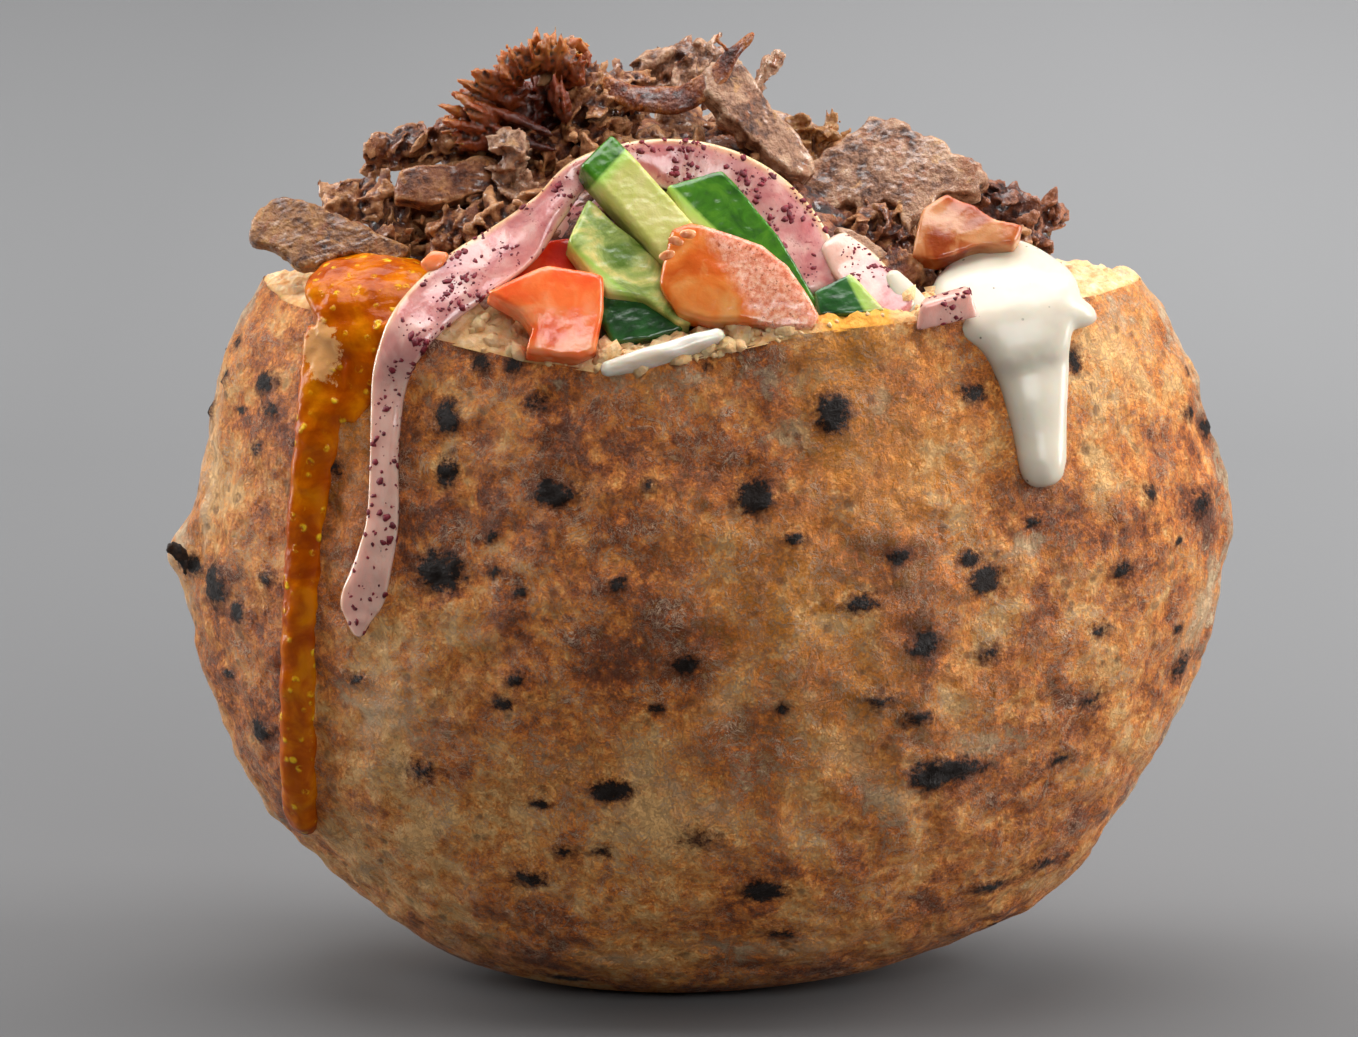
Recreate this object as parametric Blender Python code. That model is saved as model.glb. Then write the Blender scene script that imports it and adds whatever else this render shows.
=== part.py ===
"""A doner kebab sandwich half.

A cut pita pocket stands on its rounded base, packed with shaved meat, pickled
onion, cucumber and tomato. A mango sauce and a sesame sauce run over its rim.
+X is the sandwich's right, -Y its front and +Z up. The origin is on the floor,
under the middle of the sandwich's box.
"""

import math
import random

import bmesh
import bpy
import numpy as np
from mathutils import Matrix, Vector, noise

# Every size below is in millimetres, and becomes metres where a mesh is made
MM = 0.001

# The bread's outline at a few heights: height, left, right, front depth, back depth
BREAD_SECTIONS = (
    (0.0, -22.0, 15.0, 10.0, 10.0),
    (1.0, -28.5, 21.0, 13.5, 13.0),
    (4.0, -37.5, 34.0, 19.0, 18.5),
    (10.0, -46.5, 47.5, 26.0, 25.5),
    (18.0, -56.0, 56.5, 32.0, 31.5),
    (28.0, -65.0, 64.0, 36.5, 36.0),
    (42.0, -71.5, 71.5, 40.0, 39.5),
    (58.0, -73.5, 75.5, 41.5, 41.0),
    (74.0, -73.0, 77.0, 41.0, 40.5),
    (88.0, -70.6, 73.6, 39.0, 38.5),
    (98.0, -66.8, 68.6, 37.0, 36.3),
    (106.0, -62.0, 63.6, 35.6, 34.5),
)
RIM_HEIGHT = 105.5
# The cut's front edge from left to right: x and height. The filling weighs it down.
FRONT_RIM = ((-62.0, 104.5), (-50.0, 103.0), (-36.0, 101.3), (-25.0, 99.5), (-14.0, 98.3), (0.0, 100.2),
             (8.0, 101.9), (14.0, 103.3), (22.0, 104.1), (31.0, 104.6), (50.0, 105.1), (63.0, 105.4))
# The front wall is cut at a slant, its inner edge this much above its outer one, and more beside the onion
RIM_SLANT = 2.2
TORN_SLANT = 3.4
TORN_AT = -33.0
TORN_REACH = 8.0
BACK_RIM_DIP = 2.5
FACE_WALL = 7.5
END_WALL = 12.0
POCKET_FLOOR = 18.0
# How much the pita's cross-section narrows towards its two seam ends
SEAM_PINCH = 0.12
SEAM_BEAD = 0.6
SEAM_REACH = 0.12
# A burst blister on the left end
BLISTER_PROUD = 3.2
BLISTER_AT = 64.0
BLISTER_REACH = 5.0
# The crust's broad lumps and its smaller swellings: how long and how proud
LUMP_LENGTH = 24.0
LUMP_PROUD = 1.7
SWELLING_LENGTH = 9.0
SWELLING_PROUD = 0.7
# Below this height the lumps fade out towards the flat spot that the bread stands on
LUMPS_FROM = 7.0
CRUMB_LENGTH = 4.0
CRUMB_PROUD = 0.8
BREAD_AROUND = 60
BREAD_UP = 16
RINGS_LOWER_DOWN = 1.6

# The mound of meat: its crest's height at a few places along x
CREST = ((-56.0, 105.5), (-47.0, 114.5), (-38.0, 120.5), (-27.0, 124.0), (-14.0, 127.0), (4.0, 128.0),
         (19.0, 121.0), (38.0, 113.0), (54.0, 106.0))
# How far the mound leans back, how squarely it domes, and how uneven it is
HEAP_LEAN = 3.0
HEAP_DOME = 3.6
HEAP_ROUGH = 2.2
HEAP_AROUND = 36
HEAP_CLEARANCE = 1.3
HEAP_BELOW_RIM = 4.0

# Pieces that touch keep this much apart, also at their sharp edges
GAP = 0.34
MOST_SHELL_FACTOR = 1.8
BED_GAP = 0.6
SLIVER = 0.03
HEAP_KEPT_FACES = 0.4

# A shaving's rings from its back face to its front one: share of its outline, and level in its thickness
SHAVING_LEVELS = ((0.4, -0.5), (0.85, -0.46), (1.0, -0.12), (0.97, 0.3), (0.8, 0.5), (0.38, 0.54))
SHAVING_SIDES = 20
SHAVING_SQUARENESS = 0.75


def look(name, colour, roughness):
    """A plain material of one colour."""
    made = bpy.data.materials.new(name)
    made.use_nodes = True
    shader = made.node_tree.nodes["Principled BSDF"]
    shader.inputs["Base Color"].default_value = (*colour, 1.0)
    shader.inputs["Roughness"].default_value = roughness
    shader.inputs["Metallic"].default_value = 0.0
    return made


def clear_scene():
    for old in list(bpy.data.objects):
        bpy.data.objects.remove(old)


def mesh_object(name, points, faces, material):
    """A smooth-shaded object from points in millimetres."""
    mesh = bpy.data.meshes.new(name)
    mesh.from_pydata([Vector(p) * MM for p in points], [], faces)
    mesh.materials.append(material)
    mesh.shade_smooth()
    made = bpy.data.objects.new(name, mesh)
    bpy.context.scene.collection.objects.link(made)
    return made


def smooth_rows(rows, samples):
    """Rows read off a smooth curve through the given rows, both ends included."""
    rows = np.asarray(rows, float)
    ends = np.vstack([2 * rows[0] - rows[1], rows, 2 * rows[-1] - rows[-2]])
    found = []
    for along in np.linspace(0, len(rows) - 1, samples):
        step = min(int(along), len(rows) - 2)
        t = along - step
        a, b, c, d = ends[step:step + 4]
        found.append(0.5 * (2 * b + (c - a) * t + (2 * a - 5 * b + 4 * c - d) * t**2
                            + (3 * b - a - 3 * c + d) * t**3))
    return np.array(found)


def unit(vector):
    return np.asarray(vector, float) / np.linalg.norm(vector)


def loft(name, rings, material):
    """A closed skin over rings of points that turn the same way, with a flat cap at each end."""
    count = len(rings[0])
    points = [p for ring in rings for p in ring]
    faces = [tuple(reversed(range(count)))]
    for low in range(len(rings) - 1):
        for i in range(count):
            j = (i + 1) % count
            faces.append((low * count + i, low * count + j, (low + 1) * count + j, (low + 1) * count + i))
    top = (len(rings) - 1) * count
    faces.append(tuple(top + i for i in range(count)))
    return mesh_object(name, points, faces, material)


BREAD_PROFILE = smooth_rows(BREAD_SECTIONS, 240)


def section(z):
    """The bread's left, right, front depth and back depth at a height."""
    return [float(np.interp(z, BREAD_PROFILE[:, 0], BREAD_PROFILE[:, column])) for column in range(1, 5)]


def skin_point(angle, z, end_wall=0.0, face_wall=0.0, share=1.0):
    """A point round the bread at a height, set in by the walls, and drawn to the middle by share."""
    left, right, front, back = section(z)
    turn = math.sin(angle)
    depth = (back if turn > 0 else front) - face_wall
    half = (right - left) / 2 - end_wall
    x = (left + right) / 2 + share * half * math.cos(angle)
    return np.array((x, share * depth * turn * abs(turn)**SEAM_PINCH, z))


def rim_height(angle):
    """The height of the cut's outer edge: lower along the front, and a little lower along the back."""
    x = skin_point(angle, RIM_HEIGHT)[0]
    if math.sin(angle) > 0:
        return RIM_HEIGHT - BACK_RIM_DIP * math.sin(angle)
    front_x, front_z = zip(*FRONT_RIM)
    share = min(1.0, -3.0 * math.sin(angle))
    return RIM_HEIGHT + (float(np.interp(x, front_x, front_z)) - RIM_HEIGHT) * share


def relief(point):
    """How far the crust swells out at a point: broad lumps with smaller blisters on them."""
    broad = noise.noise(Vector(point) / LUMP_LENGTH)
    small = noise.noise(Vector(point) / SWELLING_LENGTH + Vector((7.0, 3.0, 1.0)))
    return LUMP_PROUD * broad + SWELLING_PROUD * small


def crust_point(angle, z):
    """A point of the crust, with its lumps, the seam's bead at both ends and a blister on the left."""
    point = skin_point(angle, z)
    left, right, front, _ = section(z)
    outward = unit((math.cos(angle) / (right - left) * 2, math.sin(angle) / front, 0.0))
    near_seam = math.exp(-(math.sin(angle) / SEAM_REACH)**2)
    swell = relief(point) + SEAM_BEAD * near_seam
    if math.cos(angle) < 0:
        swell += BLISTER_PROUD * near_seam * math.exp(-((z - BLISTER_AT) / BLISTER_REACH)**2)
    return point + outward * swell * min(1.0, z / LUMPS_FROM)


def crumb_bump(point):
    """The torn crumb's unevenness at a point of the cut."""
    return CRUMB_PROUD * noise.noise(Vector(point) / CRUMB_LENGTH)


def around(count):
    return [2 * math.pi * i / count for i in range(count)]


def make_bread(material):
    """The pita pocket: crust, cut rim, and the hollow that the filling takes up."""
    angles = around(BREAD_AROUND)
    rings = []
    for step in range(BREAD_UP + 1):
        share = (step / BREAD_UP)**RINGS_LOWER_DOWN
        rings.append([crust_point(a, rim_height(a) * share) for a in angles])
    for inwards, rise in ((0.3, 0.5), (0.7, 0.4), (1.0, -0.6)):
        ring = []
        for a in angles:
            edge = crust_point(a, rim_height(a))
            inner = skin_point(a, rim_height(a), END_WALL, FACE_WALL)
            point = edge + (inner - edge) * inwards
            torn = TORN_SLANT * math.exp(-((edge[0] - TORN_AT) / TORN_REACH)**2)
            slant = (RIM_SLANT + torn) * max(0.0, -math.sin(a)) * inwards
            point[2] += slant + rise + crumb_bump(point)
            ring.append(point)
        rings.append(ring)
    for depth, share in ((0.8, 1.0), (0.45, 1.0), (0.15, 0.95), (0.0, 0.7)):
        rings.append([skin_point(a, POCKET_FLOOR + (rim_height(a) - POCKET_FLOOR) * depth, END_WALL, FACE_WALL,
                                 share) for a in angles])
    return loft("bread", rings, material)


def crust_front(x, z):
    """The y of the crust's front at a place across and up."""
    left, right, front, _ = section(z)
    across = max(-1.0, min(1.0, (x - (left + right) / 2) / ((right - left) / 2)))
    turn = math.sqrt(1 - across**2)
    y = -front * turn * turn**SEAM_PINCH
    return y - relief((x, y, z)) * turn


def make_heap_core(material):
    """The filling: it fills the pocket down to its floor, and rises over the rim in a mound."""
    angles = around(HEAP_AROUND)
    ends, faces = END_WALL + HEAP_CLEARANCE, FACE_WALL + HEAP_CLEARANCE
    floor = POCKET_FLOOR + HEAP_CLEARANCE
    rings = []
    for depth, share in ((0.0, 0.68), (0.2, 0.93), (0.6, 1.0), (1.0, 1.0)):
        rings.append([skin_point(a, floor + (rim_height(a) - HEAP_BELOW_RIM - floor) * depth, ends, faces, share)
                      for a in angles])
    brim = rings[-1]
    crest_x, crest_z = zip(*CREST)
    for share in (0.94, 0.86, 0.76, 0.64, 0.5, 0.33, 0.15):
        ring = []
        for a in angles:
            edge = brim[angles.index(a)]
            x = edge[0] * share
            y = edge[1] * share + HEAP_LEAN * (1 - share)
            rise = np.interp(x, crest_x, crest_z) - edge[2]
            z = edge[2] + rise * (1 - share**HEAP_DOME)
            ring.append(np.array((x, y, z + HEAP_ROUGH * noise.noise(Vector((x, y, z)) / 8.0))))
        rings.append(ring)
    return loft("meat_heap", rings, material)


def bake(made):
    """Applies the object's modifiers."""
    graph = bpy.context.evaluated_depsgraph_get()
    mesh = bpy.data.meshes.new_from_object(made.evaluated_get(graph), depsgraph=graph)
    made.modifiers.clear()
    made.data = mesh


def keep_largest(made):
    """Drops the loose scraps and the slivers that a cut leaves, and splits the faces into triangles."""
    shape = bmesh.new()
    shape.from_mesh(made.data)
    bmesh.ops.triangulate(shape, faces=shape.faces)
    bmesh.ops.dissolve_degenerate(shape, dist=SLIVER * MM, edges=shape.edges)
    bmesh.ops.triangulate(shape, faces=shape.faces)
    unseen = set(shape.verts)
    islands = []
    while unseen:
        island, edge = set(), {unseen.pop()}
        while edge:
            island |= edge
            edge = {e.other_vert(v) for v in edge for e in v.link_edges} - island
        unseen -= island
        islands.append(island)
    islands.sort(key=len)
    for scrap in islands[:-1]:
        bmesh.ops.delete(shape, geom=list(scrap), context="VERTS")
    shape.to_mesh(made.data)
    shape.free()


def combine(base, others, operation, solver):
    """One Boolean of the base with all the others, applied."""
    group = bpy.data.collections.new(base.name + "_others")
    bpy.context.scene.collection.children.link(group)
    for other in others:
        group.objects.link(other)
    step = base.modifiers.new("step", "BOOLEAN")
    step.operation = operation
    step.operand_type = "COLLECTION"
    step.collection = group
    step.solver = solver
    bake(base)
    bpy.data.collections.remove(group)
    keep_largest(base)


def fuse(base, pieces):
    """Joins the pieces into the base by one union, and removes them."""
    combine(base, pieces, "UNION", "MANIFOLD")
    for piece in pieces:
        bpy.data.objects.remove(piece)
    return base


def box_of(made):
    corners = np.array([v.co for v in made.data.vertices])
    return corners.min(axis=0), corners.max(axis=0)


def near(one, other):
    low, high = box_of(one)
    other_low, other_high = box_of(other)
    reach = 2 * GAP * MM
    return bool((low < other_high + reach).all() and (other_low < high + reach).all())


def grown_copy(made, gap):
    """The object's shape swollen by a gap, for cutting its neighbours."""
    mesh = made.data.copy()
    cutter = bpy.data.objects.new(made.name + "_cutter", mesh)
    bpy.context.scene.collection.objects.link(cutter)
    cutter.hide_render = True
    cutter.display_type = "WIRE"
    shape = bmesh.new()
    shape.from_mesh(mesh)
    steps = [v.normal * gap * MM * min(MOST_SHELL_FACTOR, v.calc_shell_factor()) for v in shape.verts]
    for vertex, step in zip(shape.verts, steps):
        vertex.co += step
    shape.to_mesh(mesh)
    shape.free()
    return cutter


def carve(made, cutters):
    """Cuts the object back from the neighbours that keep their form."""
    close = [cutter for cutter in cutters if near(made, cutter)]
    if close:
        combine(made, close, "DIFFERENCE", "MANIFOLD")


def bed(heap, pieces):
    """Sinks the pieces' beds in the mound, with a wider gap, and thins the many small faces that this makes."""
    swollen = [grown_copy(piece, BED_GAP) for piece in pieces]
    carve(heap, pieces + swollen)
    for cutter in swollen:
        bpy.data.objects.remove(cutter)
    thin = heap.modifiers.new("thin", "DECIMATE")
    thin.ratio = HEAP_KEPT_FACES
    bake(heap)
    keep_largest(heap)


def ribbon(name, rows, samples, sides, squareness, material):
    """A strip swept along a smooth route.

    Each row holds x, y, z, width, thickness and the direction that the strip's face looks.
    """
    route = smooth_rows(rows, samples)
    rings = []
    for k, row in enumerate(route):
        ahead = unit(route[min(k + 1, samples - 1), :3] - route[max(k - 1, 0), :3])
        facing = unit(row[5:8] - ahead * np.dot(row[5:8], ahead))
        across = np.cross(facing, ahead)
        blunt = 0.6 if k in (0, samples - 1) else 1.0
        ring = []
        for a in around(sides):
            c, s = math.cos(a), math.sin(a)
            wide = math.copysign(abs(c)**squareness, c) * row[3] / 2
            thick = math.copysign(abs(s)**squareness, s) * row[4] / 2
            ring.append(row[:3] + blunt * (across * wide + facing * thick))
        rings.append(ring)
    return loft(name, rings, material)


def hull_piece(name, corners, rounding, material):
    """A cut piece of vegetable: the hull of its corners, with its edges rounded."""
    shape = bmesh.new()
    for corner in corners:
        shape.verts.new(Vector(corner) * MM)
    hull = bmesh.ops.convex_hull(shape, input=shape.verts)
    bmesh.ops.delete(shape, geom=list(set(hull["geom_interior"]) | set(hull["geom_unused"])), context="VERTS")
    bmesh.ops.dissolve_limit(shape, angle_limit=math.radians(8), verts=shape.verts, edges=shape.edges)
    bmesh.ops.bevel(shape, geom=list(shape.edges), offset=rounding * MM, segments=2, profile=0.6,
                    affect="EDGES", clamp_overlap=True)
    mesh = bpy.data.meshes.new(name)
    bmesh.ops.recalc_face_normals(shape, faces=shape.faces)
    shape.to_mesh(mesh)
    shape.free()
    mesh.materials.append(material)
    mesh.shade_smooth()
    made = bpy.data.objects.new(name, mesh)
    bpy.context.scene.collection.objects.link(made)
    return made


# A cucumber stick's cross-section in shares of its width and height, its skin side up
STICK_SECTION = ((-0.5, -0.5), (0.5, -0.5), (0.5, 0.32), (0.22, 0.5), (-0.22, 0.5), (-0.5, 0.32))


def stick(name, start, end, skin, width, height, end_share, slant, material):
    """A cucumber stick from start to end. Its skin looks along skin, and its two ends are cut at a slant."""
    start, end = np.array(start, float), np.array(end, float)
    ahead = unit(end - start)
    facing = unit(np.array(skin, float) - ahead * np.dot(skin, ahead))
    across = np.cross(facing, ahead)
    corners = []
    for place, share in ((start, 1.0), (end, end_share)):
        for wide, high in STICK_SECTION:
            corners.append(place + share * (across * wide * width + facing * high * height)
                           + ahead * slant * wide * width)
    return hull_piece(name, corners, 0.55, material)


def shaving(name, centre, along, facing, length, width, thickness, curl, seed, material):
    """A shaving of meat: ragged outline, uneven faces, and a curl along its length."""
    along = unit(along)
    facing = unit(np.array(facing, float) - along * np.dot(facing, along))
    across = np.cross(facing, along)
    shift = Vector((seed * 3.7, seed * 1.9, seed * 5.3))
    rings = []
    for share, level in SHAVING_LEVELS:
        ring = []
        for a in around(SHAVING_SIDES):
            c, s = math.cos(a), math.sin(a)
            ragged = 1 + 0.16 * noise.noise(Vector((2.2 * c, 2.2 * s, 0)) + shift)
            ragged += 0.09 * noise.noise(Vector((5.5 * c, 5.5 * s, 0.4 * level)) + shift)
            u = math.copysign(abs(c)**SHAVING_SQUARENESS, c) * length / 2 * ragged * share
            v = math.copysign(abs(s)**SHAVING_SQUARENESS, s) * width / 2 * ragged * share
            lift = thickness * level + 0.9 * noise.noise(Vector((u, v, 0)) / 3.5 + shift)
            lift -= curl * (2 * u / length)**2
            ring.append(np.array(centre) + along * u + across * v + facing * lift)
        rings.append(ring)
    return loft(name, rings, material)


def lump(name, centre, sizes, turn, seed, material, detail=2, roughness=0.28):
    """A torn lump of meat or a blob of sauce: an uneven ball with the given half sizes."""
    shape = bmesh.new()
    bmesh.ops.create_icosphere(shape, subdivisions=detail, radius=1.0)
    shift = Vector((seed * 2.3, seed * 4.1, seed * 0.7))
    rotation = Matrix.Rotation(turn[0], 3, "X") @ Matrix.Rotation(turn[1], 3, "Y") @ Matrix.Rotation(turn[2], 3, "Z")
    for vertex in shape.verts:
        swell = 1 + roughness * noise.noise(vertex.co * 1.6 + shift)
        grown = Vector([vertex.co[i] * swell * sizes[i] for i in range(3)])
        vertex.co = (rotation @ grown + Vector(centre)) * MM
    mesh = bpy.data.meshes.new(name)
    shape.to_mesh(mesh)
    shape.free()
    mesh.materials.append(material)
    mesh.shade_smooth()
    made = bpy.data.objects.new(name, mesh)
    bpy.context.scene.collection.objects.link(made)
    return made


def make_heap(material):
    """The mound with the torn lumps that show on it fused on, spread by a seeded rule."""
    core = make_heap_core(material)
    draw = random.Random(11)
    crest_x, crest_z = zip(*CREST)
    lumps = []
    for row, (y, drop, count) in enumerate(((2.0, 1.5, 7), (12.0, 4.5, 7), (21.0, 11.5, 7))):
        for step in range(count):
            x = -48 + 96 * (step + 0.5 * (row % 2) + 0.25) / count + draw.uniform(-2, 2)
            share = math.sqrt(max(0.0, 1 - (x / 62)**2))
            z = np.interp(x, crest_x, crest_z) - drop
            sizes = (draw.uniform(6.0, 9.0), draw.uniform(4.5, 6.0), draw.uniform(3.6, 5.0))
            turn = [draw.uniform(-0.7, 0.7) for _ in range(3)]
            lumps.append(lump("lump", (x, 1.0 + y * share, z), sizes, turn, draw.uniform(0, 50), material, 1, 0.5))
    front_lumps = (
        ((24.0, -12.5, 112.0), (4.5, 4.0, 6.0)),
        ((29.5, -11.0, 110.0), (3.6, 3.6, 5.0)),
        ((45.0, -8.0, 109.5), (4.4, 3.4, 3.0)),
        ((49.0, -5.5, 107.5), (3.4, 3.0, 3.0)),
        ((-46.5, -6.0, 114.5), (3.6, 3.4, 3.4)),
        ((-41.0, -9.0, 112.5), (4.4, 3.6, 3.2)),
        ((-34.0, -9.5, 114.0), (4.4, 3.6, 3.4)),
        ((-46.0, 0.0, 119.6), (4.2, 3.6, 4.4)),
        ((-40.0, 1.0, 123.6), (4.8, 4.0, 4.6)),
        ((-33.0, -1.0, 125.0), (4.6, 4.0, 4.2)),
        ((-51.0, -2.0, 114.6), (4.0, 3.6, 4.6)),
        ((-26.5, -8.0, 118.5), (3.0, 3.2, 5.5)),
    )
    for k, (centre, sizes) in enumerate(front_lumps):
        lumps.append(lump("lump", centre, sizes, (0.2, 0.1 * k, 0.3), 60 + k, material, 1, 0.45))
    return fuse(core, lumps)


def make_meat_pieces(brown, dark, fatty):
    """The shavings that show one by one, left to right, and two at the back."""
    return [
        ribbon("meat_strip_crisp", (
            (-14.0, 0.5, 134.4, 2.6, 1.8, 0, -0.8, 0.6),
            (-8.5, -3.0, 132.8, 4.6, 2.2, 0, -0.75, 0.65),
            (-2.0, -4.5, 133.0, 4.8, 2.2, -0.1, -0.75, 0.6),
            (2.8, -4.8, 136.0, 4.0, 2.0, -0.35, -0.8, 0.4),
            (5.6, -4.0, 139.6, 3.0, 1.8, -0.6, -0.7, 0.2),
            (8.2, -3.2, 142.2, 1.7, 1.5, -0.6, -0.7, 0.2)), 18, 8, 0.8, dark),
        shaving("meat_slice_long", (8.4, -5.0, 127.6), (0.68, -0.3, -0.66), (0.5, -0.7, 0.5), 25, 9.5, 3.2,
                1.0, 3, brown),
        shaving("meat_slice_right", (29.0, -4.0, 120.8), (0.93, 0.05, -0.36), (-0.12, -0.82, 0.56), 27, 15, 4.6,
                1.2, 5, brown),
        shaving("meat_slice_small", (23.4, -16.6, 112.3), (0.8, -0.3, -0.42), (0.3, -0.75, 0.55), 10.5, 5.0, 2.4,
                0.6, 8, brown),
        shaving("meat_leaf_left", (-53.0, -7.5, 112.6), (0.96, -0.15, -0.1), (-0.05, -0.8, 0.6), 24, 10.5, 3.2,
                1.4, 13, brown),
        shaving("meat_slab_left", (-37.0, -4.5, 119.2), (0.94, 0.05, 0.28), (0.1, -0.8, 0.55), 18, 9.5, 5.0,
                0.6, 21, brown),
        shaving("meat_frill", (-27.4, 2.5, 130.0), (0.78, 0.1, 0.62), (-0.25, -0.88, 0.35), 23, 15.5, 4.5,
                2.2, 34, fatty),
        lump("meat_chunk_top", (-15.2, 1.5, 128.6), (8.6, 6.0, 8.2), (0.2, 0.3, 0.1), 4, brown, 3, 0.5),
        lump("meat_chunk_back", (-2.0, 6.0, 134.0), (7.4, 5.6, 5.8), (0.1, -0.2, 0.4), 9, brown, 3, 0.5),
        lump("meat_bit_back", (17.2, 4.0, 124.6), (4.6, 4.0, 4.8), (0.4, 0.2, 0.1), 15, brown, 2, 0.5),
        lump("meat_crisp_right", (46.2, 3.0, 113.4), (7.6, 6.0, 4.6), (0.0, 0.28, 0.1), 27, dark, 3, 0.4),
        shaving("meat_slice_back_left", (-24.0, 17.0, 121.0), (0.9, 0.1, 0.25), (-0.1, 0.75, 0.66), 25, 12, 4.0,
                1.4, 41, brown),
        shaving("meat_slice_back_right", (12.0, 18.0, 121.5), (0.92, -0.1, -0.25), (0.1, 0.75, 0.66), 26, 13, 4.2,
                1.4, 47, brown),
    ]


def make_onions(pink, white):
    """The pickled strips. The longest hangs down the front from its end and arches over the mound."""
    hanging = ((-48.4, 59.8, 4.4), (-47.8, 64.0, 6.0), (-46.4, 75.0, 5.8), (-44.4, 87.0, 6.0), (-43.6, 95.5, 6.6))
    rows = [(x, crust_front(x, z) - 1.5, z, width, 2.2, -0.25, -0.97, 0.1) for x, z, width in hanging]
    rows += [
        (-41.4, -29.8, 101.4, 8.0, 2.2, -0.3, -0.92, 0.3),
        (-38.2, -26.6, 105.4, 10.2, 2.2, -0.4, -0.75, 0.5),
        (-32.8, -24.4, 109.8, 10.8, 2.2, -0.45, -0.7, 0.5),
        (-26.4, -22.3, 114.0, 8.8, 2.2, -0.4, -0.75, 0.5),
        (-21.6, -20.0, 118.4, 5.4, 2.6, -0.3, -0.9, 0.3),
        (-16.9, -17.0, 123.2, 4.4, 2.8, 0.0, -1.0, 0.2),
        (-9.6, -15.4, 124.6, 6.0, 2.4, 0, -0.95, 0.3),
        (-1.3, -15.2, 123.8, 8.0, 2.2, 0, -0.93, 0.36),
        (6.2, -16.3, 121.0, 9.2, 2.2, 0.1, -0.92, 0.36),
        (11.8, -18.6, 116.6, 9.4, 2.2, 0.2, -0.9, 0.36),
        (15.5, -21.2, 111.6, 8.6, 2.2, 0.25, -0.9, 0.32),
        (17.6, -23.4, 107.4, 6.6, 2.0, 0.3, -0.9, 0.3),
    ]
    return [
        ribbon("onion_strip_long", rows, 32, 8, 0.6, pink),
        hull_piece("onion_dice", (
            (30.2, -33.6, 103.2), (30.6, -29.4, 103.8), (31.0, -33.4, 107.2), (31.4, -29.8, 107.6),
            (39.4, -32.0, 105.0), (38.8, -28.2, 105.8), (38.2, -32.2, 109.0), (37.8, -28.8, 109.4)), 0.8, pink),
        ribbon("onion_sliver", (
            (-13.8, -36.2, 98.2, 1.8, 2.4, 0, -0.7, 0.7),
            (-8.5, -36.0, 99.7, 2.4, 3.2, 0, -0.7, 0.7),
            (-2.5, -35.6, 101.4, 2.4, 3.2, 0, -0.7, 0.7),
            (3.4, -34.6, 103.2, 1.8, 2.4, 0, -0.7, 0.7)), 9, 6, 0.6, white),
        ribbon("onion_strip_right", (
            (18.6, -19.5, 114.2, 3.8, 2.0, 0.2, -0.85, 0.5),
            (22.0, -22.0, 110.8, 6.4, 2.2, 0.2, -0.85, 0.5),
            (25.6, -25.6, 107.6, 6.2, 2.2, 0.2, -0.85, 0.5),
            (29.2, -28.6, 105.4, 4.0, 2.0, 0.2, -0.85, 0.5)), 9, 8, 0.6, pink),
        ribbon("onion_strip_back", (
            (-22.5, -16.0, 112.0, 3.0, 1.8, -0.3, -0.85, 0.4),
            (-18.4, -15.2, 116.0, 4.8, 2.0, -0.3, -0.85, 0.4),
            (-13.8, -13.0, 119.4, 4.2, 1.8, -0.2, -0.85, 0.4)), 7, 8, 0.6, pink),
    ]


def make_cucumbers(green):
    return [
        stick("cucumber_stick", (-13.6, -20.9, 125.0), (-2.2, -23.2, 113.4), (-0.6, -0.35, 0.7), 6.6, 6.4, 1.0,
              0.35, green),
        stick("cucumber_wedge_dark", (-1.2, -18.6, 121.6), (15.4, -28.6, 105.6), (0.3, -0.85, 0.45), 8.4, 4.2,
              0.3, 0.5, green),
        stick("cucumber_wedge_left", (-16.6, -23.2, 115.6), (-1.6, -29.2, 104.2), (0.2, -0.6, 0.78), 8.4, 6.2,
              0.72, -0.2, green),
        stick("cucumber_piece_right", (17.0, -27.6, 105.6), (24.6, -29.2, 105.4), (-0.1, -0.6, 0.8), 6.4, 5.0,
              0.9, -0.3, green),
        stick("cucumber_piece_low", (-15.4, -29.4, 103.0), (-3.4, -29.6, 101.6), (0.1, -0.6, 0.8), 6.8, 5.2,
              0.9, 0.1, green),
    ]


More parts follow.
